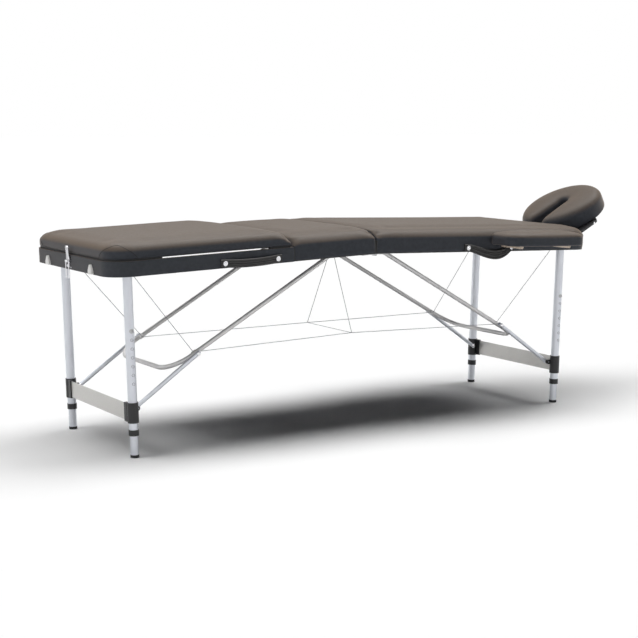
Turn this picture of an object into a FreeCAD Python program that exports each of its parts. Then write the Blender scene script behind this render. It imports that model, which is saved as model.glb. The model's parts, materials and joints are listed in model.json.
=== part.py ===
import FreeCAD, Part
import math
import os

Vector = FreeCAD.Vector

# Folding massage table: two framed halves hinged at the middle, each on a pair of
# telescopic legs that fold in with a U-shaped brace, plus a lifting backrest,
# a face cradle and two side armrests. Millimetres.
#
# Each half is drawn flat in its own frame and then seated: u runs outward from the
# fold, y across the table, w up from the underside of the rails.

# Whole table
HALF_LENGTH = 920.0
WIDTH = 610.0
CROWN = 1.75             # each half droops this many degrees from the fold
HINGE_Z = 579.0          # underside of the rails above the floor, at the fold
CLEAR = 0.3              # gap between pieces that move past each other
RUN = 0.05               # radial running clearance of pins and tubes
OVER = 9.0               # cutters run this far past what they cut

# Rails and beams of a half frame
RAIL_T = 22.0
RAIL_H = 42.0
CORNER_R = 72.0
END_STRAIGHT = 20.0      # straight part of the end piece before its corner
FOLD_GAP = 0.6
HINGE_BACK = 6.0         # hinge beam's face from the backrest's axis
FOLD_BEAM_U = 12.0
FOLD_BEAM_W = 28.0
FOLD_BEAM_LOW = 5.0
HINGE_BEAM_W = 20.0
HINGE_BEAM_H = 12.0

# Boards and pads
BOARD_T = 6.0
BOARD_IN = 2.0           # board's edge behind the pad's at the fold
FOAM_T = 34.0
PAD_ROUND = 16.0
BACK_GAP = 8.0           # space between the rails and the backrest board
BACK_BOARD_T = 8.0
BACK_FOAM_T = 42.0
BACK_AXIS_U = 312.0
BACK_INSET = 2.0
BACK_LIFT = 60.0         # how far the backrest opens, degrees
MID_LEAN = 12.0          # slope of the middle pad's end, the backrest's end has the rest
REST_IN = 3.0            # strips that the backrest lies on, from the rails' outer face
REST_T = 11.0
REST_U = 755.0
REST_SHORT = 72.0

# Legs
LEG_IN = 80.0            # leg axis from the end of the bed
LEG_INSET = 69.0         # leg axis from the side of the bed
LEG_W = 14.0
LEG_OD = 28.0
LEG_WALL = 1.5
LEG_TOP = 14.0           # tube above its pivot
LEG_TUBE_LOW = -486.0
INNER_WALL = 1.5
INNER_TOP = -150.0
FOOT_H = 9.0
FOOT_R = 13.2
LEG_PIN_R = 4.0
BUTTON_W = -169.0
BUTTON_R = 4.0
BUTTON_LENGTH = 9.0
HOLE_STEP = 26.5
HOLE_COUNT = 6
COLLAR_H = 18.0
COLLAR_R = 15.5

# Leg brackets and the cross plate between them
BOLT_W = -408.0
EAR = 20.0               # strut bolt, inward from the leg's axis
EAR_T = 10.0
EAR_R = 7.5
BOLT_R = 3.0
CLAMP_R = 17.0
CLAMP_UP = 23.0
CLAMP_DOWN = 39.0
PLATE_OUT = 10.0         # cross plate, outward from the leg's axis
PLATE_T = 3.0
PLATE_H = 52.0
HOLDER_T = 10.0
HOLDER_LENGTH = 17.0

# Brace: a U-shaped tube and two lower struts on each half
BRACE_IN = 17.0          # brace pivot from the fold beam
BRACE_W = 20.0
BRACE_GAP = 40.0         # brace arm inward from the leg axis
BRACE_R = 7.0
BRACE_WALL = 1.2
BRACE_TAIL = 99.9        # brace beyond the strut joint
BRACE_BEND = 85.0
BRACE_END = 9.0
OVER_CENTRE = 0.58       # slack that lets brace and strut pass in line
STRUT_R = 6.5
STRUT_WALL = 1.2
STRUT_END = 8.0
STRUT_WASHER = 2.0       # between strut and brace arm
BRACE_LUG_T = 6.0
BRACE_LUG = 16.0
SHEET_T = 3.0            # folded steel of the pivot brackets
BRACKET_LOW = 9.0
BRACKET_FLANGE = 30.0

# Fold hinges under the rails
FOLD_DROP = 3.6
KNUCKLE_R = 3.5
HINGE_PIN_R = 1.5
LEAF_T = 2.0
LEAF_LENGTH = 46.0
LEAF_W = 20.0

# Backrest hinges, stay and racks
BACK_KNUCKLE_R = 3.5
BACK_HINGE_W = 60.0
BACK_HINGE_INSET = 85.0
BACK_LEAF = 40.0
STAY_R = 3.0
STAY_ARM_R = 2.8
STAY_END = 48.0          # stay's cross bar from the end of the bed
STAY_Y = 150.0
STAY_CLIP_W = 14.0
RACK_T = 3.0
RACK_H = 16.0
RACK_NOTCHES = 6

# Cables
CABLE_R = 1.0
SLING_Y = 140.0
SLING_DROP = 277.0
EYE = 8.0                # anchor block of the sling
TIE_GAP = 3.0            # left tie's end short of the sling's corner

# Carry handles
HANDLE_SPAN = 184.0      # between the two screws
HANDLE_SAG_LEFT = 4.0
HANDLE_SAG_RIGHT = 27.0
HANDLE_W = 14.0
HANDLE_H = 26.0
HANDLE_T = 7.0
HANDLE_END = 14.0

# Latch on one end and its catch on the other
LATCH_W = 32.0
LATCH_LOW = 6.0
LATCH_PLATE_T = 2.5
LATCH_PLATE_H = 34.0
LEVER_W = 26.0
LEVER_T = 4.0
LEVER_LENGTH = 66.0
LEVER_PIN_R = 2.0
BAIL_R = 1.5
BAIL_DROP = 50.0
CATCH_W = 28.0

# Cable clips on the end rails
CLIP_Y = 166.0
CLIP_W = 24.0
CLIP_H = 30.0
CLIP_T = 9.0

# Armrests
ARM_IN = 299.0           # middle of the armrest from the end of the bed
ARM_ROD_GAP = 208.0
ARM_ROD_R = 6.0
ARM_ROD_W = 21.5
ARM_ROD_IN = 43.0
ARM_ROD_OUT = 105.0
ARM_LENGTH = 326.0
ARM_SHIFT = 7.0          # pad's middle outward from that of its rods
ARM_WIDTH = 123.0
ARM_SPACE = 4.0
ARM_BOARD_T = 6.0
ARM_FOAM_T = 41.0
ARM_BOARD_IN = 4.0
ARM_CORNER = 40.0

# Face cradle
CRADLE_ROD_Y = 105.0
CRADLE_ROD_R = 5.0
CRADLE_ROD_W = 16.0
CRADLE_ROD_IN = 120.0
CRADLE_ROD_SPREAD = 12.0
TILT_OUT = 32.0          # tilt bar from the end of the bed
TILT = 29.0              # rest tilt from the half's own plane
BARREL_R = 9.0
BARREL_Y0 = 40.0
BARREL_Y1 = 88.0
CRADLE_PLATE_LOW = 4.0
CRADLE_PLATE_T = 8.0
CRADLE_START = 6.0       # plate starts this far outward of the tilt bar
CRADLE_REACH = 156.0
CRADLE_HALF_W = 168.0
CRADLE_CORNER = 24.0
CRADLE_BAR = 20.0
CRADLE_SLOT = 76.0
CRADLE_HOLE_R = 5.0
CRADLE_HOLE_IN = 14.0
FACE_LENGTH = 300.0
FACE_WIDTH = 310.0
FACE_T = 58.0
FACE_START = -4.0
FACE_SLOT_W = 50.0
FACE_SLOT_L = 200.0
FACE_ROUND = 20.0

HALF_WIDTH = WIDTH / 2
SIDE_Y = HALF_WIDTH - RAIL_T
END_U = HALF_LENGTH - CORNER_R - END_STRAIGHT
TOP_W = RAIL_H + BOARD_T
LEG_U = HALF_LENGTH - LEG_IN
LEG_Y = HALF_WIDTH - LEG_INSET
BRACE_U = FOLD_BEAM_U + FOLD_BEAM_W + BRACE_IN
BRACE_Y = LEG_Y - BRACE_GAP
BACK_HINGE_Y = HALF_WIDTH - BACK_HINGE_INSET
BACK_HINGE_YS = (-BACK_HINGE_Y, 0.0, BACK_HINGE_Y)
STAY_ARM = (HALF_LENGTH - STAY_END - BACK_AXIS_U) / 2
HANDLE_U0 = (HALF_LENGTH - HANDLE_SPAN) / 2
HANDLE_U1 = (HALF_LENGTH + HANDLE_SPAN) / 2
ARM_U = HALF_LENGTH - ARM_IN
TILT_U = HALF_LENGTH + TILT_OUT
BACK_AXIS_W = RAIL_H + BACK_GAP / 2
BACK_LOW = RAIL_H + BACK_GAP
MID_END = BACK_AXIS_U - HINGE_BACK
LEG_R = LEG_OD / 2
INNER_R = LEG_R - LEG_WALL - RUN
CROWN_RAD = math.radians(CROWN)
FLOOR_W = -(HINGE_Z - LEG_U * math.sin(CROWN_RAD)) / math.cos(CROWN_RAD)
STRUT_Y = BRACE_Y + BRACE_R + CLEAR + STRUT_WASHER + STRUT_R
LUG_Y = BRACE_Y - BRACE_R - BRACE_LUG_T - CABLE_R - CLEAR
BOTH = (-1, 1)


def box(u0, u1, y0, y1, w0, w1):
    return Part.makeBox(
        u1 - u0, abs(y1 - y0), w1 - w0, Vector(u0, min(y0, y1), w0)
    )


def rod(a, b, radius):
    axis = b.sub(a)
    return Part.makeCylinder(radius, axis.Length, a, axis)


def tube(a, b, radius, wall):
    return rod(a, b, radius).cut(rod(a, b, radius - wall))


def cross_pin(u, w, y0, y1, radius):
    return rod(Vector(u, min(y0, y1), w), Vector(u, max(y0, y1), w), radius)


def fuse(shapes):
    shapes = list(shapes)
    return shapes[0].multiFuse(shapes[1:]).removeSplitter()


def group(shapes):
    return Part.makeCompound(list(shapes))


def sweep(wire, radius, wall):
    """A round tube along a wire in the plane of the page."""
    start = wire.OrderedVertexes[0].Point
    along = wire.OrderedEdges[0].tangentAt(wire.OrderedEdges[0].FirstParameter)

    def skin(r):
        ring = Part.Wire([Part.makeCircle(r, start, along)])
        return wire.makePipeShell([ring], True, False)

    outer = skin(radius)
    if wall == 0:
        return outer
    return outer.cut(skin(radius - wall))


def prism(points, y0, y1):
    """A flat outline in the u-w plane, carried across the table."""
    corners = [Vector(u, y0, w) for u, w in points]
    face = Part.Face(Part.makePolygon(corners + corners[:1]))
    return face.extrude(Vector(0, y1 - y0, 0))


def rounded_plan(u0, u1, half_width, radius):
    """Plan outline, square at u0 and with round corners at u1."""
    turn = radius * math.sqrt(0.5)
    points = [
        Vector(u0, -half_width, 0),
        Vector(u1 - radius, -half_width, 0),
        Vector(u1 - radius + turn, -half_width + radius - turn, 0),
        Vector(u1, -half_width + radius, 0),
        Vector(u1, half_width - radius, 0),
        Vector(u1 - radius + turn, half_width - radius + turn, 0),
        Vector(u1 - radius, half_width, 0),
        Vector(u0, half_width, 0),
    ]
    edges = [
        Part.LineSegment(points[0], points[1]).toShape(),
        Part.Arc(points[1], points[2], points[3]).toShape(),
        Part.LineSegment(points[3], points[4]).toShape(),
        Part.Arc(points[4], points[5], points[6]).toShape(),
        Part.LineSegment(points[6], points[7]).toShape(),
        Part.LineSegment(points[7], points[0]).toShape(),
    ]
    return Part.Face(Part.Wire(edges))


def slab(plan, low, height):
    solid = plan.extrude(Vector(0, 0, height))
    solid.translate(Vector(0, 0, low))
    return solid


def round_top(solid, radius):
    top = solid.BoundBox.ZMax
    edges = [e for e in solid.Edges if e.BoundBox.ZMin > top - 0.01]
    return solid.makeFillet(radius, edges)


def seat_right(shape):
    placed = shape.copy()
    placed.rotate(Vector(0, 0, 0), Vector(0, 1, 0), CROWN)
    placed.translate(Vector(0, 0, HINGE_Z))
    return placed


def seat_left(shape):
    return seat_right(shape).mirror(Vector(0, 0, 0), Vector(1, 0, 0))


# Brace linkage, worked out so that the frame, leg, strut and brace also close flat

def brace_linkage():
    """Strut length, brace length to the strut joint, and that joint with the leg down."""
    folded_bolt_u = LEG_U - (LEG_W - BOLT_W)
    flat = folded_bolt_u - BRACE_U
    rise = LEG_W + EAR - BRACE_W
    span_u = LEG_U - EAR - BRACE_U
    span_w = BOLT_W - BRACE_W
    span = math.hypot(span_u, span_w)
    strut_length = (span - flat) / 2 + OVER_CENTRE
    length = flat + math.sqrt(strut_length ** 2 - rise ** 2)
    along = (length ** 2 - strut_length ** 2 + span ** 2) / (2 * span)
    off = math.sqrt(length ** 2 - along ** 2)
    joint_u = BRACE_U + (along * span_u - off * span_w) / span
    joint_w = BRACE_W + (along * span_w + off * span_u) / span
    return strut_length, length, joint_u, joint_w


STRUT_LENGTH, BRACE_LENGTH, JOINT_U, JOINT_W = brace_linkage()
BRACE_REACH = BRACE_LENGTH + BRACE_TAIL
BRACE_ANGLE = math.degrees(math.atan2(BRACE_W - JOINT_W, JOINT_U - BRACE_U))


# Half frame

def side_rail(side):
    return box(
        FOLD_GAP, END_U,
        side * SIDE_Y, side * HALF_WIDTH, 0, RAIL_H,
    )


def end_rail():
    start = END_U
    outer = rounded_plan(start, HALF_LENGTH, HALF_WIDTH, CORNER_R)
    inner = rounded_plan(start - 1, HALF_LENGTH - RAIL_T, SIDE_Y, CORNER_R - RAIL_T)
    return slab(outer, 0, RAIL_H).cut(slab(inner, 0, RAIL_H))


def fold_beam():
    return box(
        FOLD_BEAM_U, FOLD_BEAM_U + FOLD_BEAM_W, -SIDE_Y, SIDE_Y, FOLD_BEAM_LOW, RAIL_H
    )


def leg_bracket(side):
    """Folded steel channel on the rail that carries one leg's pivot pin."""
    reach = LEG_R + SHEET_T / 2
    u0 = LEG_U - reach
    u1 = LEG_U + reach
    low = LEG_W - BRACKET_LOW
    web = LEG_W + math.hypot(LEG_R, LEG_TOP) + 2
    top = web + SHEET_T
    inner = LEG_Y - LEG_R - CLEAR
    outer = LEG_Y + LEG_R + CLEAR
    flange_u0 = END_U + END_STRAIGHT - BRACKET_FLANGE
    flange_u1 = END_U + END_STRAIGHT
    solid = fuse([
        box(u0, u1, side * (inner - SHEET_T), side * inner, low, top),
        box(u0, u1, side * outer, side * (outer + SHEET_T), low, top),
        box(flange_u0, u1, side * (inner - SHEET_T), side * (outer + SHEET_T), web, top),
        box(flange_u0, flange_u1, side * inner, side * SIDE_Y, web, top),
        box(flange_u0, flange_u1, side * (SIDE_Y - SHEET_T), side * SIDE_Y, low, top),
    ])
    hole = cross_pin(LEG_U, LEG_W, side * (inner - OVER), side * (outer + OVER), LEG_PIN_R)
    return solid.cut(hole)


def leg_pin(side):
    inner = LEG_Y - LEG_R - CLEAR - SHEET_T
    outer = LEG_Y + LEG_R + CLEAR + SHEET_T
    return cross_pin(LEG_U, LEG_W, side * (inner - 2), side * (outer + 2), LEG_PIN_R)


def brace_ears(side):
    """Two steel ears on the fold beam, either side of one arm of the brace."""
    gap = BRACE_R + CLEAR
    u0 = FOLD_BEAM_U + FOLD_BEAM_W
    u1 = BRACE_U + 10
    ears = []
    for edge in BOTH:
        y0 = side * BRACE_Y + edge * gap
        y1 = y0 + edge * SHEET_T
        ear = box(u0, u1, y0, y1, BRACE_W - 10, BRACE_W + 10)
        ears.append(ear.cut(cross_pin(BRACE_U, BRACE_W, y0 - OVER, y1 + OVER, BOLT_R)))
    return ears


def brace_pin(side):
    half = BRACE_R + CLEAR + SHEET_T + 2
    return cross_pin(BRACE_U, BRACE_W, side * BRACE_Y - half, side * BRACE_Y + half, BOLT_R)


def pivot_hardware():
    pieces = []
    for side in BOTH:
        pieces.append(leg_bracket(side))
        pieces.append(leg_pin(side))
        pieces.extend(brace_ears(side))
        pieces.append(brace_pin(side))
    return group(pieces)


# Legs

def leg_tube(side):
    axis = Vector(LEG_U, side * LEG_Y, LEG_TUBE_LOW)
    top = Vector(LEG_U, side * LEG_Y, LEG_W + LEG_TOP)
    solid = tube(axis, top, LEG_R, LEG_WALL)
    solid = solid.cut(
        cross_pin(LEG_U, LEG_W, side * LEG_Y - LEG_OD, side * LEG_Y + LEG_OD, LEG_PIN_R + RUN)
    )
    for step in range(HOLE_COUNT + 1):
        w = BUTTON_W - step * HOLE_STEP
        solid = solid.cut(cross_pin(LEG_U, w, side * LEG_Y, side * (LEG_Y + LEG_OD), BUTTON_R))
    return solid


def leg_clamp(side):
    """Plastic clamp on the tube, with the strut's ear and the plate's holder."""
    low = BOLT_W - CLAMP_DOWN
    high = BOLT_W + CLAMP_UP
    middle = (low + high) / 2
    inner = STRUT_Y + STRUT_R + CLEAR
    ear_y0 = side * inner
    ear_y1 = side * (inner + EAR_T)
    plate_u = LEG_U + PLATE_OUT
    hold_y0 = LEG_Y - CLAMP_R - HOLDER_LENGTH + 3
    body = fuse([
        rod(Vector(LEG_U, side * LEG_Y, low), Vector(LEG_U, side * LEG_Y, high), CLAMP_R),
        cross_pin(LEG_U - EAR, BOLT_W, ear_y0, ear_y1, EAR_R),
        box(LEG_U - EAR, LEG_U, ear_y0, ear_y1, BOLT_W - EAR_R, BOLT_W + EAR_R),
        box(plate_u - HOLDER_T / 2, plate_u + HOLDER_T / 2,
            side * hold_y0, side * (LEG_Y - 12), low + 2, high - 2),
    ])
    body = body.cut(rod(Vector(LEG_U, side * LEG_Y, low), Vector(LEG_U, side * LEG_Y, high), LEG_R))
    body = body.cut(cross_pin(LEG_U - EAR, BOLT_W, ear_y0, ear_y1, BOLT_R + RUN))
    slot = box(plate_u - PLATE_T / 2, plate_u + PLATE_T / 2,
               side * hold_y0, side * (hold_y0 + HOLDER_LENGTH - 4),
               middle - PLATE_H / 2, middle + PLATE_H / 2)
    return body.cut(slot)


def leg_collar(side):
    low = Vector(LEG_U, side * LEG_Y, LEG_TUBE_LOW)
    high = Vector(LEG_U, side * LEG_Y, LEG_TUBE_LOW + COLLAR_H)
    return tube(low, high, COLLAR_R, COLLAR_R - LEG_R)


def cross_plate():
    middle = BOLT_W + (CLAMP_UP - CLAMP_DOWN) / 2
    plate_u = LEG_U + PLATE_OUT
    reach = LEG_Y - CLAMP_R - HOLDER_LENGTH + 3 + HOLDER_LENGTH - 4
    return box(plate_u - PLATE_T / 2, plate_u + PLATE_T / 2, -reach, reach,
               middle - PLATE_H / 2, middle + PLATE_H / 2)


def inner_leg(side):
    low = Vector(LEG_U, side * LEG_Y, FLOOR_W + FOOT_H)
    top = Vector(LEG_U, side * LEG_Y, INNER_TOP)
    solid = tube(low, top, INNER_R, INNER_WALL)
    return solid.cut(cross_pin(LEG_U, BUTTON_W, side * LEG_Y, side * (LEG_Y + LEG_OD), BUTTON_R))


def foot(side):
    low = Vector(LEG_U, side * LEG_Y, FLOOR_W - 3)
    top = Vector(LEG_U, side * LEG_Y, FLOOR_W + FOOT_H)
    return rod(low, top, FOOT_R)


def trim_at_floor(solid):
    around = solid.BoundBox
    under = box(around.XMin - 1, around.XMax + 1, around.YMin - 1, around.YMax + 1, around.ZMin - 1, 0)
    return solid.cut(under)


def button(side):
    tip = LEG_Y + INNER_R
    return cross_pin(LEG_U, BUTTON_W, side * (tip - BUTTON_LENGTH), side * tip, BUTTON_R - RUN)


# Brace and struts

def brace():
    """U-shaped tube, drawn flat from its pivot and swung down to the strut joint."""
    bend = BRACE_BEND
    turn = bend * math.sqrt(0.5)
    far = BRACE_REACH
    y = BRACE_Y
    points = [
        Vector(-BRACE_END, y, 0),
        Vector(far - bend, y, 0),
        Vector(far - bend + turn, y - bend + turn, 0),
        Vector(far, y - bend, 0),
        Vector(far, bend - y, 0),
        Vector(far - bend + turn, bend - y - turn, 0),
        Vector(far - bend, -y, 0),
        Vector(-BRACE_END, -y, 0),
    ]
    wire = Part.Wire([
        Part.LineSegment(points[0], points[1]).toShape(),
        Part.Arc(points[1], points[2], points[3]).toShape(),
        Part.LineSegment(points[3], points[4]).toShape(),
        Part.Arc(points[4], points[5], points[6]).toShape(),
        Part.LineSegment(points[6], points[7]).toShape(),
    ])
    solid = sweep(wire, BRACE_R, BRACE_WALL)
    for side in BOTH:
        solid = solid.cut(cross_pin(0, 0, side * y - 20, side * y + 20, BOLT_R + RUN))
    lugs = [
        box(BRACE_LENGTH - BRACE_LUG / 2, BRACE_LENGTH + BRACE_LUG / 2,
            side * (y - BRACE_R + 0.6), side * (y - BRACE_R - BRACE_LUG_T), -5, 5)
        for side in BOTH
    ]
    solid = fuse([solid] + lugs)
    solid.rotate(Vector(0, 0, 0), Vector(0, 1, 0), BRACE_ANGLE)
    solid.translate(Vector(BRACE_U, 0, BRACE_W))
    return solid


def strut(side):
    y = side * STRUT_Y
    bolt = Vector(LEG_U - EAR, y, BOLT_W)
    joint = Vector(JOINT_U, y, JOINT_W)
    along = joint.sub(bolt).normalize()
    low = bolt.sub(along * STRUT_END)
    high = joint.add(along * STRUT_END)
    ear_out = STRUT_Y + STRUT_R + CLEAR + EAR_T
    arm_face = BRACE_Y + BRACE_R + CLEAR
    return fuse([
        tube(low, high, STRUT_R, STRUT_WALL),
        cross_pin(bolt.x, bolt.z, side * (STRUT_Y - STRUT_R + 0.4), side * ear_out, BOLT_R),
        cross_pin(joint.x, joint.z, side * arm_face, side * (STRUT_Y + STRUT_R - 0.4), BOLT_R),
    ])


# Fold hinges

def fold_hinge(side, owns_outer):
    """One leaf of a three-knuckle hinge under a side rail."""
    outer = HALF_WIDTH - 1
    inner = outer - LEAF_W
    third = LEAF_W / 3
    axis_u = FOLD_DROP * math.sin(CROWN_RAD)
    axis_w = -FOLD_DROP * math.cos(CROWN_RAD)
    if owns_outer:
        spans = [(inner, inner + third - CLEAR), (outer - third + CLEAR, outer)]
        hole = HINGE_PIN_R
    else:
        spans = [(inner + third, outer - third)]
        hole = HINGE_PIN_R + RUN
    root = KNUCKLE_R + 1.5
    pieces = [box(root, root + LEAF_LENGTH, side * inner, side * outer, -LEAF_T, 0)]
    for y0, y1 in spans:
        pieces.append(cross_pin(axis_u, axis_w, side * y0, side * y1, KNUCKLE_R))
        pieces.append(box(axis_u, root, side * y0, side * y1, -LEAF_T - 1.4, -1.4))
    pieces.append(box(root - 1, root + 2, side * spans[0][0], side * spans[-1][1], -LEAF_T - 1.4, -LEAF_T))
    pieces = fuse(pieces)
    return pieces.cut(cross_pin(axis_u, axis_w, side * (inner - OVER), side * (outer + OVER), hole))


def fold_hinge_pin(side):
    outer = HALF_WIDTH - 1
    axis_u = FOLD_DROP * math.sin(CROWN_RAD)
    axis_w = -FOLD_DROP * math.cos(CROWN_RAD)
    return cross_pin(axis_u, axis_w, side * (outer - LEAF_W), side * outer, HINGE_PIN_R)


# Cables

def cable(points):
    pieces = [rod(a, b, CABLE_R) for a, b in zip(points, points[1:])]
    joints = [Part.makeSphere(CABLE_R, p) for p in points[1:-1]]
    return fuse(pieces + joints) if joints else pieces[0]


def stay_cable(side):
    """From the leg bracket's inner cheek down to the lug on the brace."""
    cheek = LEG_Y - LEG_R - CLEAR - SHEET_T
    top = Vector(LEG_U - 12, side * (cheek - CABLE_R), LEG_W - 2)
    lug = Vector(JOINT_U + 3, side * LUG_Y, JOINT_W + 2)
    return cable([top, lug])


# Pads and boards

def mid_board():
    return box(FOLD_GAP + BOARD_IN, MID_END, -HALF_WIDTH, HALF_WIDTH, RAIL_H, TOP_W)


def mid_pad():
    lean = FOAM_T * math.tan(math.radians(MID_LEAN))
    top = TOP_W + FOAM_T
    return prism(
        [(FOLD_GAP, TOP_W), (MID_END, TOP_W), (MID_END - lean, top), (FOLD_GAP, top)],
        -HALF_WIDTH, HALF_WIDTH,
    )


def right_board():
    return slab(rounded_plan(FOLD_GAP + BOARD_IN, HALF_LENGTH, HALF_WIDTH, CORNER_R), RAIL_H, BOARD_T)


def right_pad():
    plan = rounded_plan(FOLD_GAP, HALF_LENGTH, HALF_WIDTH, CORNER_R)
    return round_top(slab(plan, TOP_W, FOAM_T), PAD_ROUND)


def backrest_bevel(solid):
    """Slope the inner edge so that the panel clears its neighbour when it lifts."""
    lean = math.radians(BACK_LIFT - MID_LEAN)
    top = BACK_LOW + BACK_BOARD_T + BACK_FOAM_T + OVER
    reach = (top - BACK_AXIS_W) * math.tan(lean)
    cutter = prism(
        [(BACK_AXIS_U - OVER, BACK_AXIS_W), (BACK_AXIS_U, BACK_AXIS_W),
         (BACK_AXIS_U + reach, top), (BACK_AXIS_U - OVER, top)],
        -WIDTH, WIDTH,
    )
    return solid.cut(cutter)


def backrest_plan():
    return rounded_plan(
        BACK_AXIS_U, HALF_LENGTH - BACK_INSET, HALF_WIDTH - BACK_INSET, CORNER_R - BACK_INSET
    )


def backrest_board():
    return backrest_bevel(slab(backrest_plan(), BACK_LOW, BACK_BOARD_T))


def backrest_pad():
    solid = slab(backrest_plan(), BACK_LOW + BACK_BOARD_T, BACK_FOAM_T)
    return backrest_bevel(round_top(solid, PAD_ROUND))


# Backrest hinges, stay and racks

def hinge_beam():
    return box(
        MID_END - HINGE_BEAM_W, MID_END, -SIDE_Y, SIDE_Y,
        RAIL_H - HINGE_BEAM_H, RAIL_H,
    )


def backrest_hinge(y, fixed):
    """One leaf: the fixed one on the beam's face, the moving one under the board."""
    half = BACK_HINGE_W / 2
    third = BACK_HINGE_W / 6
    if fixed:
        spans = [(y - half, y - third - CLEAR), (y + third + CLEAR, y + half)]
        leaf = box(MID_END, MID_END + LEAF_T, y - half, y + half, RAIL_H - HINGE_BEAM_H, BACK_AXIS_W)
        bridge = (MID_END, BACK_AXIS_U, BACK_AXIS_W - LEAF_T / 2, BACK_AXIS_W + LEAF_T / 2)
        hole = HINGE_PIN_R
    else:
        spans = [(y - third, y + third)]
        start = BACK_AXIS_U + BACK_KNUCKLE_R + 1.5
        leaf = box(start, start + BACK_LEAF, y - half, y + half, BACK_LOW - LEAF_T, BACK_LOW)
        bridge = (BACK_AXIS_U, start + 2, BACK_LOW - LEAF_T - 1, BACK_LOW - 1)
        hole = HINGE_PIN_R + RUN
    pieces = [leaf]
    for y0, y1 in spans:
        pieces.append(cross_pin(BACK_AXIS_U, BACK_AXIS_W, y0, y1, BACK_KNUCKLE_R))
        pieces.append(box(bridge[0], bridge[1], y0, y1, bridge[2], bridge[3]))
    return fuse(pieces).cut(cross_pin(BACK_AXIS_U, BACK_AXIS_W, y - half - OVER, y + half + OVER, hole))


def backrest_hinge_pin(y):
    half = BACK_HINGE_W / 2
    return cross_pin(BACK_AXIS_U, BACK_AXIS_W, y - half, y + half, HINGE_PIN_R)


def stay_clip(side):
    """Saddle under the board that holds one end of the stay."""
    u = BACK_AXIS_U + STAY_ARM
    y0 = side * (STAY_Y + STAY_R + CLEAR)
    y1 = y0 + side * STAY_CLIP_W
    low = BACK_AXIS_W - STAY_R - 1
    solid = box(u - 6, u + 6, y0, y1, low, BACK_LOW)
    return solid.cut(cross_pin(u, BACK_AXIS_W, y0, y1, STAY_R + RUN))


def backrest_stay():
    """Rod prop: two arms hung from the board and a cross bar that drops in the racks."""
    u0 = BACK_AXIS_U + STAY_ARM
    u1 = u0 + STAY_ARM
    w = BACK_AXIS_W
    trunnion = STAY_Y + STAY_R + STAY_CLIP_W
    bar = SIDE_Y - 1
    pieces = [cross_pin(u1, w, -bar, bar, STAY_R)]
    for side in BOTH:
        arm = Vector(u0, side * STAY_Y, w)
        pieces.append(rod(arm, Vector(u1, side * STAY_Y, w), STAY_ARM_R))
        pieces.append(cross_pin(u0, w, side * (STAY_Y - STAY_R), side * trunnion, STAY_R))
    return fuse(pieces)


def stay_rack(side):
    """Notched bar on the rail's inner face, one notch for each backrest angle."""
    top = BACK_AXIS_W - STAY_R - CLEAR
    u0 = BACK_AXIS_U + STAY_ARM - 20
    u1 = END_U - 10
    solid = box(u0, u1, side * (SIDE_Y - RACK_T), side * SIDE_Y, top - RACK_H, top)
    pitch = (u1 - u0) / RACK_NOTCHES
    for step in range(RACK_NOTCHES):
        notch_u = u0 + (step + 0.5) * pitch
        notch = cross_pin(notch_u, top, side * (SIDE_Y - OVER), side * (SIDE_Y + OVER), STAY_R + 1)
        solid = solid.cut(notch)
    return solid


def rest_strips():
    """Soft strips on top of the rails: one round the end, two short ones by the hinges."""
    thick = BACK_GAP - CLEAR
    inner = REST_IN + REST_T

    def plan(start, inset):
        return rounded_plan(start, HALF_LENGTH - inset, HALF_WIDTH - inset, CORNER_R - inset)

    band = slab(plan(REST_U, REST_IN), RAIL_H, thick)
    pieces = [band.cut(slab(plan(REST_U - OVER, inner), RAIL_H, thick))]
    u0 = BACK_AXIS_U + HINGE_BACK
    for side in BOTH:
        y0 = side * (HALF_WIDTH - inner)
        y1 = side * (HALF_WIDTH - REST_IN)
        pieces.append(box(u0, u0 + REST_SHORT, y0, y1, RAIL_H, RAIL_H + thick))
    return group(pieces)


# Handles, latch and clips

def handle(sag):
    """Strap on the near rail, screwed at both ends, hanging by sag in the middle."""
    u0 = HANDLE_U0 - HANDLE_END
    u1 = HANDLE_U1 + HANDLE_END
    y0 = -HALF_WIDTH
    high = HANDLE_W + HANDLE_H / 2
    low = HANDLE_W - HANDLE_H / 2
    middle = (u0 + u1) / 2

    def corner(u, w):
        return Vector(u, y0, w)

    inner0 = HANDLE_U0 + HANDLE_END
    inner1 = HANDLE_U1 - HANDLE_END
    edges = [
        Part.LineSegment(corner(u0, high), corner(inner0, high)).toShape(),
        Part.Arc(corner(inner0, high), corner(middle, high - sag), corner(inner1, high)).toShape(),
        Part.LineSegment(corner(inner1, high), corner(u1, high)).toShape(),
        Part.LineSegment(corner(u1, high), corner(u1, low)).toShape(),
        Part.LineSegment(corner(u1, low), corner(inner1, low)).toShape(),
        Part.Arc(corner(inner1, low), corner(middle, low - sag), corner(inner0, low)).toShape(),
        Part.LineSegment(corner(inner0, low), corner(u0, low)).toShape(),
        Part.LineSegment(corner(u0, low), corner(u0, high)).toShape(),
    ]
    face = Part.Face(Part.Wire(edges))
    return face.extrude(Vector(0, -HANDLE_T, 0))


LATCH_AXIS_U = HALF_LENGTH + LATCH_PLATE_T + CLEAR + LEVER_T / 2
LATCH_AXIS_W = LATCH_LOW + 8


def latch_base():
    """Plate on the end rail with two ears for the lever's pin."""
    u0 = HALF_LENGTH
    u1 = u0 + LATCH_PLATE_T
    half = LATCH_W / 2
    ear_y = LEVER_W / 2 + CLEAR
    pieces = [box(u0, u1, -half, half, LATCH_LOW, LATCH_LOW + LATCH_PLATE_H)]
    for side in BOTH:
        pieces.append(
            box(u0, LATCH_AXIS_U + 4, side * ear_y, side * half, LATCH_AXIS_W - 6, LATCH_AXIS_W + 6)
        )
    hole = cross_pin(LATCH_AXIS_U, LATCH_AXIS_W, -half - 1, half + 1, LEVER_PIN_R + RUN)
    return fuse(pieces).cut(hole)


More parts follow.
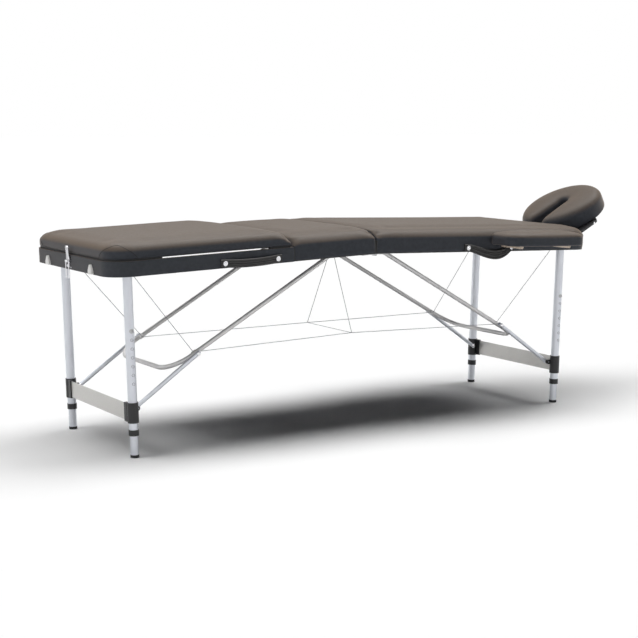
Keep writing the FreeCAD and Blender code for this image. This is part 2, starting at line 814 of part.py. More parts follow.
def bail_axis():
    return LATCH_AXIS_U + LEVER_T / 2 + BAIL_R + 1, LATCH_AXIS_W + 12


def latch_lever():
    half = LEVER_W / 2
    bail_u, bail_w = bail_axis()
    plate_u0 = LATCH_AXIS_U - LEVER_T / 2
    plate_u1 = LATCH_AXIS_U + LEVER_T / 2
    loop = BAIL_R + 2
    solid = fuse([
        box(plate_u0, plate_u1, -half, half, LATCH_AXIS_W, LATCH_LOW + LEVER_LENGTH),
        cross_pin(LATCH_AXIS_U, LATCH_AXIS_W, -LATCH_W / 2, LATCH_W / 2, LEVER_PIN_R),
        box(LATCH_AXIS_U, bail_u + loop, -half + 4, half - 4, bail_w - loop, bail_w + loop),
    ])
    return solid.cut(cross_pin(bail_u, bail_w, -half, half, BAIL_R + RUN))


def latch_bail():
    """Wire loop hanging from the lever."""
    bail_u, bail_w = bail_axis()
    half = LEVER_W / 2 - 2
    low = bail_w - BAIL_DROP
    pieces = [
        cross_pin(bail_u, bail_w, -half, half, BAIL_R),
        cross_pin(bail_u, low, -half, half, BAIL_R),
    ]
    for side in BOTH:
        top = Vector(bail_u, side * half, bail_w)
        end = Vector(bail_u, side * half, low)
        pieces.append(rod(end, top, BAIL_R))
        pieces.append(Part.makeSphere(BAIL_R, top))
        pieces.append(Part.makeSphere(BAIL_R, end))
    return fuse(pieces)


def latch_catch():
    u0 = HALF_LENGTH
    half = CATCH_W / 2
    plate_top = LATCH_LOW + LATCH_PLATE_H - 4
    return fuse([
        box(u0, u0 + LATCH_PLATE_T, -half, half, LATCH_LOW, plate_top),
        box(u0, u0 + 6, -half + 4, half - 4, plate_top - 8, plate_top - 5),
        box(u0 + 4, u0 + 6, -half + 4, half - 4, plate_top - 8, plate_top),
    ])


def cable_clip(side):
    """Pointed plastic clip on the lower edge of an end rail."""
    u0 = HALF_LENGTH
    half = CLIP_W / 2
    y = side * CLIP_Y
    outline = [
        Vector(u0, y - half, 0), Vector(u0, y + half, 0),
        Vector(u0, y + half, CLIP_H * 0.5), Vector(u0, y, CLIP_H), Vector(u0, y - half, CLIP_H * 0.5),
    ]
    face = Part.Face(Part.makePolygon(outline + outline[:1]))
    return face.extrude(Vector(CLIP_T, 0, 0))


# Armrests

def arm_rods(side, radius):
    y0 = side * (HALF_WIDTH - ARM_ROD_IN)
    y1 = side * (HALF_WIDTH + ARM_ROD_OUT)
    return [
        cross_pin(ARM_U + edge * ARM_ROD_GAP / 2, ARM_ROD_W, y0, y1, radius) for edge in BOTH
    ]


def arm_plan(side, inset):
    y0 = HALF_WIDTH + ARM_SPACE + inset
    y1 = HALF_WIDTH + ARM_SPACE + ARM_WIDTH - inset
    half = ARM_LENGTH / 2 - inset
    plan = rounded_plan(0, y1 - y0, half, ARM_CORNER - inset)
    turn = FreeCAD.Rotation(Vector(0, 0, 1), side * 90)
    plan.Placement = FreeCAD.Placement(Vector(ARM_U + ARM_SHIFT, side * y0, 0), turn)
    return plan


ARM_BOARD_LOW = ARM_ROD_W + ARM_ROD_R / 2
ARM_PAD_LOW = ARM_BOARD_LOW + ARM_BOARD_T


def armrest_base(side):
    return group(arm_rods(side, ARM_ROD_R))


def armrest_pad(side):
    """Foam on a wrapped board that is grooved for the two rods."""
    board = slab(arm_plan(side, ARM_BOARD_IN), ARM_BOARD_LOW, ARM_BOARD_T)
    for groove in arm_rods(side, ARM_ROD_R):
        board = board.cut(groove)
    foam = round_top(slab(arm_plan(side, 0), ARM_PAD_LOW, ARM_FOAM_T), PAD_ROUND)
    return group([board, foam])


# Face cradle, drawn flat with its pivot at the origin and tilted into place

def cradle_rods(radius, u1):
    return [
        rod(Vector(HALF_LENGTH - CRADLE_ROD_IN, side * CRADLE_ROD_Y, CRADLE_ROD_W),
            Vector(u1, side * CRADLE_ROD_Y, CRADLE_ROD_W), radius)
        for side in BOTH
    ]


def cradle_yoke():
    """Two rods for the end rail, joined by the bar that the cradle tilts on."""
    half = CRADLE_ROD_Y + CRADLE_ROD_SPREAD
    bar = cross_pin(TILT_U, CRADLE_ROD_W, -half, half, CRADLE_ROD_R)
    return fuse([bar] + cradle_rods(CRADLE_ROD_R, TILT_U))


def tilted(solid):
    solid.rotate(Vector(0, 0, 0), Vector(0, 1, 0), -TILT)
    solid.translate(Vector(TILT_U, 0, CRADLE_ROD_W))
    return solid


def cradle_plate():
    """Plate under the face pad, with stiff barrels on the tilt bar."""
    low = CRADLE_PLATE_LOW
    high = low + CRADLE_PLATE_T
    plan = rounded_plan(CRADLE_START, CRADLE_REACH, CRADLE_HALF_W, CRADLE_CORNER)
    plate = slab(plan, low, CRADLE_PLATE_T)
    slot = CRADLE_SLOT / 2
    slot_start = CRADLE_START + CRADLE_BAR
    plate = plate.cut(box(slot_start, CRADLE_REACH + 1, -slot, slot, low - 1, high + 1))
    for side in BOTH:
        place = Vector(CRADLE_REACH - CRADLE_HOLE_IN, side * (CRADLE_HALF_W - CRADLE_HOLE_IN), low)
        plate = plate.cut(Part.makeCylinder(CRADLE_HOLE_R, CRADLE_PLATE_T, place))
    above = box(-BARREL_R, BARREL_R, -BARREL_Y1, BARREL_Y1, high, high + BARREL_R)
    barrels = [cross_pin(0, 0, side * BARREL_Y0, side * BARREL_Y1, BARREL_R) for side in BOTH]
    solid = fuse([plate] + [barrel.cut(above) for barrel in barrels])
    bore = cross_pin(0, 0, -CRADLE_HALF_W, CRADLE_HALF_W, CRADLE_ROD_R + RUN)
    return tilted(solid.cut(bore))


def face_pad():
    """Oval cushion with a slot for the face, open towards the table."""
    middle = FACE_START + FACE_LENGTH / 2
    low = CRADLE_PLATE_LOW + CRADLE_PLATE_T
    centre = Vector(middle, 0, 0)
    across = Vector(middle, FACE_WIDTH / 2, 0)
    along = Vector(middle + FACE_LENGTH / 2, 0, 0)
    ends = sorted([along, across], key=centre.distanceToPoint)
    oval = Part.Ellipse(ends[1], ends[0], centre)
    pad = slab(Part.Face(Part.Wire([oval.toShape()])), low, FACE_T)
    pad = round_top(pad, FACE_ROUND)
    half = FACE_SLOT_W / 2
    slot_end = FACE_START + FACE_SLOT_L - half
    slot = fuse([
        box(FACE_START - 20, slot_end, -half, half, low - 1, low + FACE_T + 1),
        Part.makeCylinder(half, FACE_T + 2, Vector(slot_end, 0, low - 1)),
    ])
    return tilted(pad.cut(slot))


# Assembly

def sling_corner(side):
    beam = FOLD_BEAM_U + FOLD_BEAM_W / 2
    return Vector(beam, side * SLING_Y, -SLING_DROP)


def tie_cable(side, end):
    lug = Vector(JOINT_U - 3, side * LUG_Y, JOINT_W)
    return cable([lug, end])


def sling():
    """Wire triangle under the fold that carries the middle of both tie cables."""
    apex = Vector(FOLD_BEAM_U + FOLD_BEAM_W / 2, 0, FOLD_BEAM_LOW - EYE / 2)
    near = sling_corner(-1)
    far = sling_corner(1)
    pieces = [rod(apex, near, CABLE_R), rod(apex, far, CABLE_R), rod(near, far, CABLE_R)]
    pieces += [Part.makeSphere(CABLE_R, p) for p in (near, far)]
    eye = box(apex.x - EYE / 2, apex.x + EYE / 2, -EYE / 2, EYE / 2, FOLD_BEAM_LOW - EYE, FOLD_BEAM_LOW)
    return fuse(pieces + [eye])


def from_right_to_left(point):
    """The same place in the left half's flat frame."""
    x = point.x * math.cos(CROWN_RAD) + point.z * math.sin(CROWN_RAD)
    z = -point.x * math.sin(CROWN_RAD) + point.z * math.cos(CROWN_RAD)
    return Vector(
        -x * math.cos(CROWN_RAD) - z * math.sin(CROWN_RAD),
        point.y,
        -x * math.sin(CROWN_RAD) + z * math.cos(CROWN_RAD),
    )


def left_tie_end(side):
    corner = from_right_to_left(sling_corner(side))
    return Vector(corner.x + TIE_GAP, corner.y, corner.z)


def half_nodes():
    """Pieces that both halves have, in the flat frame."""
    return {
        "pivot_hardware": pivot_hardware(),
        "leg_tubes": group([leg_tube(side) for side in BOTH]),
        "leg_clamps": group(
            [leg_clamp(side) for side in BOTH] + [leg_collar(side) for side in BOTH]
        ),
        "cross_plate": cross_plate(),
        "inner_leg_near": inner_leg(-1),
        "inner_leg_far": inner_leg(1),
        "button_near": button(-1),
        "button_far": button(1),
        "brace": brace(),
        "struts": group([strut(side) for side in BOTH]),
    }


def left_only():
    ties = [tie_cable(side, left_tie_end(side)) for side in BOTH]
    return {
        "left_rail_near": side_rail(-1),
        "left_rail_far": side_rail(1),
        "left_rail_end": end_rail(),
        "left_crossbeams": group([fold_beam(), hinge_beam()]),
        "mid_board": mid_board(),
        "mid_pad": mid_pad(),
        "backrest_board": backrest_board(),
        "backrest_pad": backrest_pad(),
        "left_hinges": group(
            [fold_hinge(side, True) for side in BOTH] + [fold_hinge_pin(side) for side in BOTH]
            + [backrest_hinge(y, True) for y in BACK_HINGE_YS]
            + [backrest_hinge_pin(y) for y in BACK_HINGE_YS]
        ),
        "backrest_fittings": group(
            [backrest_hinge(y, False) for y in BACK_HINGE_YS] + [stay_clip(side) for side in BOTH]
        ),
        "backrest_stay": backrest_stay(),
        "stay_racks": group([stay_rack(side) for side in BOTH]),
        "rest_strips": rest_strips(),
        "left_handle": handle(HANDLE_SAG_LEFT),
        "left_cables": group([stay_cable(side) for side in BOTH] + ties),
        "latch_base": latch_base(),
        "latch_lever": latch_lever(),
        "latch_bail": latch_bail(),
        "left_cable_clips": group([cable_clip(side) for side in BOTH]),
    }


def right_only():
    near = side_rail(-1)
    far = side_rail(1)
    for bore in arm_rods(-1, ARM_ROD_R + RUN):
        near = near.cut(bore)
    for bore in arm_rods(1, ARM_ROD_R + RUN):
        far = far.cut(bore)
    end = end_rail()
    for bore in cradle_rods(CRADLE_ROD_R + RUN, HALF_LENGTH + 5):
        end = end.cut(bore)
    ties = [tie_cable(side, sling_corner(side)) for side in BOTH]
    return {
        "right_rail_near": near,
        "right_rail_far": far,
        "right_rail_end": end,
        "right_fold_beam": fold_beam(),
        "right_board": right_board(),
        "right_pad": right_pad(),
        "right_hinges": group([fold_hinge(side, False) for side in BOTH]),
        "right_handle": handle(HANDLE_SAG_RIGHT),
        "right_cables": group([stay_cable(side) for side in BOTH] + ties + [sling()]),
        "latch_catch": latch_catch(),
        "armrest_near_base": armrest_base(-1),
        "armrest_near_pad": armrest_pad(-1),
        "armrest_far_base": armrest_base(1),
        "armrest_far_pad": armrest_pad(1),
        "cradle_yoke": cradle_yoke(),
        "cradle_plate": cradle_plate(),
        "face_pad": face_pad(),
    }


def assembly():
    nodes = {}
    for name, shape in half_nodes().items():
        nodes["left_" + name] = seat_left(shape)
        nodes["right_" + name] = seat_right(shape)
    for name, shape in left_only().items():
        nodes[name] = seat_left(shape)
    for name, shape in right_only().items():
        nodes[name] = seat_right(shape)
    for place, side in (("near", -1), ("far", 1)):
        nodes["left_foot_" + place] = trim_at_floor(seat_left(foot(side)))
        nodes["right_foot_" + place] = trim_at_floor(seat_right(foot(side)))
    return nodes


def centre_on_floor(nodes):
    """Put the origin on the floor under the middle of the table's overall box."""
    whole = FreeCAD.BoundBox()
    for shape in nodes.values():
        whole.add(shape.optimalBoundingBox(False))
    shift = Vector(-whole.Center.x, -whole.Center.y, 0)
    for shape in nodes.values():
        shape.translate(shift)
    return shift


NODES = assembly()
SHIFT = centre_on_floor(NODES)
os.makedirs("parts", exist_ok=True)
for node_name, node_shape in NODES.items():
    node_shape.exportStep("parts/" + node_name + ".step")
print(len(NODES), "nodes; fold at x =", round(SHIFT.x, 4), "mm")
print("strut", round(STRUT_LENGTH, 4), "brace", round(BRACE_LENGTH, 4))
print("joint", round(JOINT_U, 3), round(JOINT_W, 3))
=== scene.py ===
import json
import math

import bmesh
import bpy
from mathutils import Matrix, Vector


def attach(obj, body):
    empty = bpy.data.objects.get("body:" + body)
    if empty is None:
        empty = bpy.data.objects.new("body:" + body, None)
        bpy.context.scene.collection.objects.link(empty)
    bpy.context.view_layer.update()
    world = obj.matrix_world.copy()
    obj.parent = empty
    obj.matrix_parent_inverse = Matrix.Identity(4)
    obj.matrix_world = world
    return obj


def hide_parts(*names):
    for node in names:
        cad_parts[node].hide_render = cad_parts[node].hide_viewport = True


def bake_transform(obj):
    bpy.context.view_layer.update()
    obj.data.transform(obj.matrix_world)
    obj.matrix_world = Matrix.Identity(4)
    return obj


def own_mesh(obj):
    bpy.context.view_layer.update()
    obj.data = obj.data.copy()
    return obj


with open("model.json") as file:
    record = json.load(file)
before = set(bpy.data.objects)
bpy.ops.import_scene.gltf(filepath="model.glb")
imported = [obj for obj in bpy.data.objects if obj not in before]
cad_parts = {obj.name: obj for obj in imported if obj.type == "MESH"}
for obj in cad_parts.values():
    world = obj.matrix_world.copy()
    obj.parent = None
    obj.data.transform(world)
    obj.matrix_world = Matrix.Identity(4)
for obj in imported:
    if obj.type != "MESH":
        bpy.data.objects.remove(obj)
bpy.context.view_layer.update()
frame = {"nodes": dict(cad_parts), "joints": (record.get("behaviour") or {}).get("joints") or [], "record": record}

# Each half of the table is drawn flat in its own frame, in metres: u outward from the fold,
# y across the table, w up from the underside of the rails. place() seats it on the CAD frame.
JOINTS = {joint["name"]: joint for joint in frame["joints"]}
FOLD_X, _, FOLD_Z = JOINTS["fold"]["pos_m"]
LEG_DOWN = JOINTS["right_leg_extend_near"]["axis"]
CROWN = math.atan2(-LEG_DOWN[0], -LEG_DOWN[2])
PIN_BELOW = 0.0036       # fold pins under the underside of the rails
RAIL_Z = FOLD_Z + PIN_BELOW
BOTH = (-1, 1)
SIDES = ((-1, "near"), (1, "far"))

HALF_LENGTH = 0.920
HALF_WIDTH = 0.305
RAIL_H = 0.042
CORNER_R = 0.072
TOP_W = 0.084
SEAM_U = 0.306
BACK_AXIS_U = 0.312
BACK_AXIS_W = 0.046
BACK_LOW = 0.050
BACK_TOP = 0.100
MID_LEAN = math.tan(math.radians(12.0))
BACK_LEAN = math.tan(math.radians(48.0))
PROUD = 0.002            # vinyl over the rails
BAND = 0.012             # how far that vinyl is drawn into the rails
LEG_U = 0.840
LEG_Y = 0.236
LEG_R = 0.014
BUTTON_W = -0.169
BOLT_U = 0.820
BOLT_W = -0.408
JOINT_U = 0.6041
JOINT_W = -0.2676
STRUT_Y = 0.2118
STRUT_R = 0.0065

VOXEL = 0.006
FINE_VOXEL = 0.0045
PRESSURE = 4.0
STRETCH_STIFF = 12
BEND_STIFF = 2
SIM_FRAMES = 20
EVEN_ROUNDS = 12


def place(half, point):
    u, y, w = point
    x = u * math.cos(CROWN) + w * math.sin(CROWN)
    z = RAIL_Z - u * math.sin(CROWN) + w * math.cos(CROWN)
    return Vector((FOLD_X + (x if half == "right" else -x), y, z))


# Materials

def tint(color, factor):
    return (color[0] * factor, color[1] * factor, color[2] * factor, 1)


def surface(
    name, color, metallic, rough, scale, spread, rough_spread, relief, stretch=(1, 1, 1), specular=0.5
):
    """A procedural finish: colour and gloss drift with one noise, and a finer one lifts the surface."""
    mat = bpy.data.materials.new(name)
    mat.use_nodes = True
    nodes = mat.node_tree.nodes
    links = mat.node_tree.links
    shader = nodes["Principled BSDF"]
    shader.inputs["Metallic"].default_value = metallic
    shader.inputs["Specular IOR Level"].default_value = specular
    where = nodes.new("ShaderNodeTexCoord")
    mapping = nodes.new("ShaderNodeMapping")
    mapping.inputs["Scale"].default_value = stretch
    links.new(where.outputs["Object"], mapping.inputs["Vector"])

    drift = nodes.new("ShaderNodeTexNoise")
    drift.inputs["Scale"].default_value = scale
    drift.inputs["Detail"].default_value = 3
    links.new(mapping.outputs["Vector"], drift.inputs["Vector"])
    tones = nodes.new("ShaderNodeValToRGB")
    tones.color_ramp.elements[0].position = 0.3
    tones.color_ramp.elements[0].color = tint(color, 1 - spread)
    tones.color_ramp.elements[1].position = 0.7
    tones.color_ramp.elements[1].color = tint(color, 1 + spread)
    links.new(drift.outputs["Fac"], tones.inputs["Fac"])
    links.new(tones.outputs["Color"], shader.inputs["Base Color"])
    gloss = nodes.new("ShaderNodeMapRange")
    gloss.inputs["From Min"].default_value = 0.3
    gloss.inputs["From Max"].default_value = 0.7
    gloss.inputs["To Min"].default_value = rough - rough_spread
    gloss.inputs["To Max"].default_value = rough + rough_spread
    links.new(drift.outputs["Fac"], gloss.inputs["Value"])
    links.new(gloss.outputs["Result"], shader.inputs["Roughness"])

    fine = nodes.new("ShaderNodeTexNoise")
    fine.inputs["Scale"].default_value = scale * 8
    fine.inputs["Detail"].default_value = 2
    links.new(mapping.outputs["Vector"], fine.inputs["Vector"])
    bump = nodes.new("ShaderNodeBump")
    bump.inputs["Strength"].default_value = 0.3
    bump.inputs["Distance"].default_value = relief
    links.new(fine.outputs["Fac"], bump.inputs["Height"])
    links.new(bump.outputs["Normal"], shader.inputs["Normal"])
    return mat


# top is the lit colour painted on upward faces and side the shaded colour painted on the sides: painted light and
# shade on one black vinyl
def vinyl(name, top, side, rough, sheen):
    """Leathercloth with a soft sheen, its colour painted with light and shade: lit warm grey on upward faces,
    shaded near black on its sides.
    """
    mat = surface(name, top, 0, rough, 90, 0.08, 0.04, 0.0004, specular=0.10)
    nodes = mat.node_tree.nodes
    links = mat.node_tree.links
    shader = nodes["Principled BSDF"]
    shader.inputs["Specular Tint"].default_value = (0.70, 0.86, 1.0, 1)
    shader.inputs["Sheen Weight"].default_value = sheen
    shader.inputs["Sheen Roughness"].default_value = 0.4
    shader.inputs["Sheen Tint"].default_value = (1.0, 0.78, 0.58, 1)
    # Painted light and shade: the base colour goes from the top colour on upward faces to the darker side colour
    # on sideways faces, by the height of the object-space normal
    where = nodes.new("ShaderNodeTexCoord")
    facing = nodes.new("ShaderNodeSeparateXYZ")
    links.new(where.outputs["Normal"], facing.inputs["Vector"])
    painted_light_ramp = nodes.new("ShaderNodeValToRGB")
    painted_light_ramp.color_ramp.interpolation = "EASE"
    painted_light_ramp.color_ramp.elements[0].position = 0.15
    painted_light_ramp.color_ramp.elements[0].color = (side[0] / top[0], side[1] / top[1], side[2] / top[2], 1)
    painted_light_ramp.color_ramp.elements[1].position = 0.85
    painted_light_ramp.color_ramp.elements[1].color = (1, 1, 1, 1)
    links.new(facing.outputs["Z"], painted_light_ramp.inputs["Fac"])
    painted_light_colour = nodes.new("ShaderNodeVectorMath")
    painted_light_colour.operation = "MULTIPLY"
    links.new(shader.inputs["Base Color"].links[0].from_socket, painted_light_colour.inputs[0])
    links.new(painted_light_ramp.outputs["Color"], painted_light_colour.inputs[1])
    links.new(painted_light_colour.outputs["Vector"], shader.inputs["Base Color"])
    return mat


ALONG_Z = (6, 6, 0.4)
# Each vinyl is given as a lit top colour and a shaded side colour: painted light and shade
VINYL = vinyl("vinyl", (0.082, 0.058, 0.040), (0.055, 0.059, 0.069), 0.46, 0.28)
RAIL_VINYL = vinyl("rail_vinyl", (0.082, 0.058, 0.040), (0.063, 0.067, 0.076), 0.50, 0.15)
SILVER = surface("silver", (0.68, 0.70, 0.75), 0.75, 0.38, 60, 0.03, 0.05, 0.00004, ALONG_Z)
PLATE = surface("plate", (0.60, 0.59, 0.57), 0.7, 0.42, 60, 0.04, 0.05, 0.00004, (1, 1, 12))
GREY_TUBE = surface("grey_tube", (0.70, 0.69, 0.69), 0.7, 0.55, 60, 0.04, 0.05, 0.00004)
STEEL = surface("steel", (0.50, 0.50, 0.51), 0.9, 0.38, 80, 0.05, 0.06, 0.00005)
CHROME = surface("chrome", (0.80, 0.80, 0.82), 1, 0.14, 80, 0.02, 0.03, 0.00003)
LATCH_CHROME = surface("latch_chrome", (0.60, 0.60, 0.62), 1, 0.2, 30, 0.35, 0.06, 0.00005, (1, 5, 1))
BLACK = surface("black_plastic", (0.018, 0.018, 0.019), 0, 0.42, 150, 0.1, 0.05, 0.0001)
STRAP = surface("strap", (0.022, 0.021, 0.021), 0, 0.5, 150, 0.1, 0.05, 0.0002)
WHITE = surface("white_plastic", (0.88, 0.87, 0.85), 0, 0.4, 100, 0.02, 0.05, 0.0001)
RUBBER = surface("rubber", (0.022, 0.022, 0.023), 0, 0.75, 150, 0.1, 0.05, 0.0003)
BEECH = surface("beech", (0.78, 0.64, 0.52), 0, 0.5, 30, 0.12, 0.05, 0.0002, (4, 0.4, 4))
PLYWOOD = surface("plywood", (0.38, 0.26, 0.16), 0, 0.6, 12, 0.18, 0.05, 0.0003, (1, 9, 9))
BLACK_WOOD = surface("black_wood", (0.018, 0.018, 0.018), 0, 0.6, 30, 0.12, 0.05, 0.0002, (1, 6, 6))
WIRE = surface("wire", (0.36, 0.36, 0.38), 0.8, 0.4, 200, 0.06, 0.05, 0.00005)
THREAD = surface("thread", (0.006, 0.006, 0.006), 0, 0.7, 300, 0.1, 0.05, 0.0001)

SLOT_LOOK = {
    "vinyl": VINYL, "black_wood": BLACK_WOOD, "plywood": PLYWOOD, "silver": SILVER, "plate": PLATE,
    "steel": STEEL, "grey_tube": GREY_TUBE, "chrome": CHROME, "black_plastic": BLACK,
    "white_plastic": WHITE, "rubber": RUBBER, "beech": BEECH, "wire": WIRE,
}
for part in frame["record"]["subparts"]:
    node = frame["nodes"][part["node"]]
    node.data.materials.clear()
    node.data.materials.append(SLOT_LOOK[part["material_slot"]])


# Mesh helpers

def link_mesh(name, mesh, material):
    mesh.materials.append(material)
    mesh.polygons.foreach_set("use_smooth", [True] * len(mesh.polygons))
    obj = bpy.data.objects.new(name, mesh)
    bpy.context.scene.collection.objects.link(obj)
    return obj


def from_bmesh(name, shape, material):
    bmesh.ops.recalc_face_normals(shape, faces=shape.faces)
    mesh = bpy.data.meshes.new(name)
    shape.to_mesh(mesh)
    shape.free()
    return link_mesh(name, mesh, material)


def from_rings(name, rings, material, loop=False):
    """A closed skin over rings of equal length, capped at both ends or joined in a loop."""
    shape = bmesh.new()
    rows = [[shape.verts.new(point) for point in ring] for ring in rings]
    count = len(rows[0])
    following = rows[1:] + rows[:1] if loop else rows[1:]
    for a, b in zip(rows, following):
        for k in range(count):
            after = (k + 1) % count
            shape.faces.new((a[k], a[after], b[after], b[k]))
    if not loop:
        shape.faces.new(rows[0])
        shape.faces.new(rows[-1])
    return from_bmesh(name, shape, material)


def sharpen(obj, angle):
    """Keeps edges crisp where faces meet at more than angle degrees."""
    obj.data.set_sharp_from_angle(angle=math.radians(angle))


def circle(centre, across, lift, radius, steps):
    """Points round a centre, in the plane of across and lift."""
    points = []
    for k in range(steps):
        turn = 2 * math.pi * k / steps
        points.append(centre + (across * math.cos(turn) + lift * math.sin(turn)) * radius)
    return points


def lathe(name, centre, axis, profile, material, steps=24, loop=False):
    """Turns (height, radius) pairs about an axis through centre."""
    axis = Vector(axis).normalized()
    across = axis.orthogonal().normalized()
    lift = axis.cross(across)
    rings = [circle(centre + axis * height, across, lift, radius, steps) for height, radius in profile]
    obj = from_rings(name, rings, material, loop)
    sharpen(obj, 40)
    return obj


def tube(name, points, radius, material, sides=8):
    """A round tube along a row of points."""
    rings = []
    for index, point in enumerate(points):
        ahead = points[min(index + 1, len(points) - 1)] - points[max(index - 1, 0)]
        across = ahead.cross(Vector((0, 0, 1)))
        if across.length < 1e-9:
            across = Vector((1, 0, 0))
        across.normalize()
        lift = across.cross(ahead).normalized()
        rings.append(circle(point, across, lift, radius, sides))
    return from_rings(name, rings, material)


def plan_outline(u0, u1, half_width, radius, steps=10):
    """Plan points, square at u0 and with two round corners at u1."""
    turns = [math.pi / 2 * index / steps for index in range(steps + 1)]
    centre_u = u1 - radius
    centre_y = half_width - radius
    points = [(u0, -half_width)]
    for turn in turns:
        points.append((centre_u + radius * math.sin(turn), -centre_y - radius * math.cos(turn)))
    for turn in turns:
        points.append((centre_u + radius * math.cos(turn), centre_y + radius * math.sin(turn)))
    points.append((u0, half_width))
    return points


def add_slab(shape, outline, w0, w1, lean=None):
    """Adds a closed slab to a bmesh; lean gives how far a point's u moves at a height."""
    def ring(w):
        return [shape.verts.new((u + (lean(u, w) if lean else 0), y, w)) for u, y in outline]

    low = ring(w0)
    top = ring(w1)
    count = len(outline)
    shape.faces.new(list(reversed(low)))
    shape.faces.new(top)
    for index in range(count):
        after = (index + 1) % count
        shape.faces.new((low[index], low[after], top[after], top[index]))


def add_band(shape, outer, inner, w0, w1):
    """A U-shaped band between two outlines of equal length."""
    rings = []
    for outline, w in ((outer, w0), (outer, w1), (inner, w1), (inner, w0)):
        rings.append([shape.verts.new((u, y, w)) for u, y in outline])
    count = len(outer)
    for a, b in zip(rings, rings[1:] + rings[:1]):
        for index in range(count - 1):
            shape.faces.new((a[index], a[index + 1], b[index + 1], b[index]))
    for end in (0, count - 1):
        shape.faces.new([ring[end] for ring in rings])


# Soft pads: a plain block is remeshed, swollen by cloth pressure and pulled in at its sewn corners

PAD_GROW = 0.002
SWELL = 0.004
SWELL_CAP = SWELL + 0.002
BED_RELAX = 6
FOLD_U = 0.0012
BOARD_LOW = RAIL_H + 0.0005   # underside of the wrapped board, clear of the folded legs
SKIRT_LOW = -0.0005
SKIRT_TOP = 0.046
PULL_FLOOR = 0.054       # skin below this height is tacked down and isn't drawn in
PULL_RISE = 0.012        # height over which the drawing-in sets in
ROUND_REACH = 0.042
ROUND_DROP = 0.023
CROWN_REACH = 0.150
CROWN_DROP = 0.005
MOST_DROP = 0.9
HAND = 0.09
BED_WAIST = 0.006
BACK_WAIST = 0.008
FOLD_REACH = (0.012, 0.018)   # each pair: in the middle of the bed, and added at its sides
FOLD_DROP = (0.004, 0.011)
SEAM_EDGE = SEAM_U - 0.006
SEAM_REACH = (0.032, -0.008)
SEAM_DROP = (0.012, -0.004)
SEAM_TUCK = 0.003
NOSE_U = 0.3125
NOSE_REACH = 0.050
NOSE_DROP = 0.029
BACK_IN = 0.001
BACK_UNDER = BACK_LOW - 0.002
BACK_HELD = BACK_LOW + 0.006

# Sewn corners: place, reach, pull (along, inward, up) and height of the small folds
WRINKLE_START = 0.012
WRINKLES_UP = 7
WRINKLES_ACROSS = 3
FOLD_CORNER = {"u": 0.0, "w": 0.064, "reach": 0.070, "pull": (0.003, 0.004, -0.003), "wrinkle": 0.0022}
SEAM_CORNER = {"u": SEAM_U, "w": 0.064, "reach": 0.055, "pull": (-0.001, 0.002, -0.001), "wrinkle": 0.0010}
NOSE_CORNER = {"u": NOSE_U, "w": 0.070, "reach": 0.065, "pull": (0.002, 0.003, -0.001), "wrinkle": 0.0016}


def voxel_remesh(obj, size):
    bpy.context.view_layer.objects.active = obj
    obj.data.remesh_voxel_size = size
    obj.data.remesh_voxel_adaptivity = 0
    bpy.ops.object.voxel_remesh()


def even_out(values, pairs, rounds):
    """Averages a value per vertex with its neighbours'."""
    for _ in range(rounds):
        total = list(values)
        count = [1] * len(values)
        for a, b in pairs:
            total[a] += values[b]
            total[b] += values[a]
            count[a] += 1
            count[b] += 1
        values = [t / c for t, c in zip(total, count)]
    return values


def inflate(obj, held_below, cap):
    """Swells the skin outwards by at most cap; points under held_below stay put."""
    mesh = obj.data
    start = [v.co.copy() for v in mesh.vertices]
    facing = [v.normal.copy() for v in mesh.vertices]
    group = obj.vertex_groups.new(name="held")
    group.add([i for i, co in enumerate(start) if co.z < held_below], 1.0, "REPLACE")
    cloth = obj.modifiers.new("Cloth", "CLOTH")
    settings = cloth.settings
    settings.quality = 4
    settings.use_pressure = True
    settings.uniform_pressure_force = PRESSURE
    settings.effector_weights.gravity = 0
    settings.vertex_group_mass = "held"
    settings.tension_stiffness = STRETCH_STIFF
    settings.compression_stiffness = STRETCH_STIFF
    settings.bending_stiffness = BEND_STIFF
    cloth.point_cache.frame_end = SIM_FRAMES
    scene = bpy.context.scene
    for step in range(1, SIM_FRAMES + 1):
        scene.frame_set(step)
    solved = obj.evaluated_get(bpy.context.evaluated_depsgraph_get())
    swell = []
    for vert, a, out in zip(solved.data.vertices, start, facing):
        swell.append(min(cap, max(0.0, (vert.co - a).dot(out))))
    obj.modifiers.clear()
    obj.vertex_groups.clear()
    scene.frame_set(1)
    swell = even_out(swell, [tuple(edge.vertices) for edge in mesh.edges], EVEN_ROUNDS)
    for vert, a, out, size in zip(mesh.vertices, start, facing, swell):
        vert.co = a + out * size


def relax(obj, rounds):
    shape = bmesh.new()
    shape.from_mesh(obj.data)
    for _ in range(rounds):
        bmesh.ops.smooth_vert(
            shape, verts=shape.verts, factor=0.5, use_axis_x=True, use_axis_y=True, use_axis_z=True
        )
    shape.to_mesh(obj.data)
    shape.free()


def pull_in(obj, u, w, reach, pull, wrinkle):
    """Draws the skin in towards a sewn corner on each side, with small folds fanning out from it."""
    along, inward, up = pull
    for side in BOTH:
        corner = Vector((u, side * HALF_WIDTH, w))
        draw = Vector((along, -side * inward, up))
        for vert in obj.data.vertices:
            off = vert.co - corner
            share = max(0.0, 1 - off.length / reach)
            share *= max(0.0, min(1.0, (vert.co.z - PULL_FLOOR) / PULL_RISE))
            if share > 0:
                fan = math.atan2(off.z, off.x) * WRINKLES_UP + math.atan2(off.y, off.x) * WRINKLES_ACROSS
                lift = wrinkle * math.cos(fan) * share * min(1, off.length / WRINKLE_START)
                vert.co += draw * share ** 2 + Vector((0, 0, lift))


def rim(depth, reach, drop):
    """How far a cushion's top falls at a depth in from its edge, as a quarter ellipse."""
    t = min(1.0, max(0.0, 1 - depth / reach))
    return drop * (1 - math.sqrt(1 - t * t))


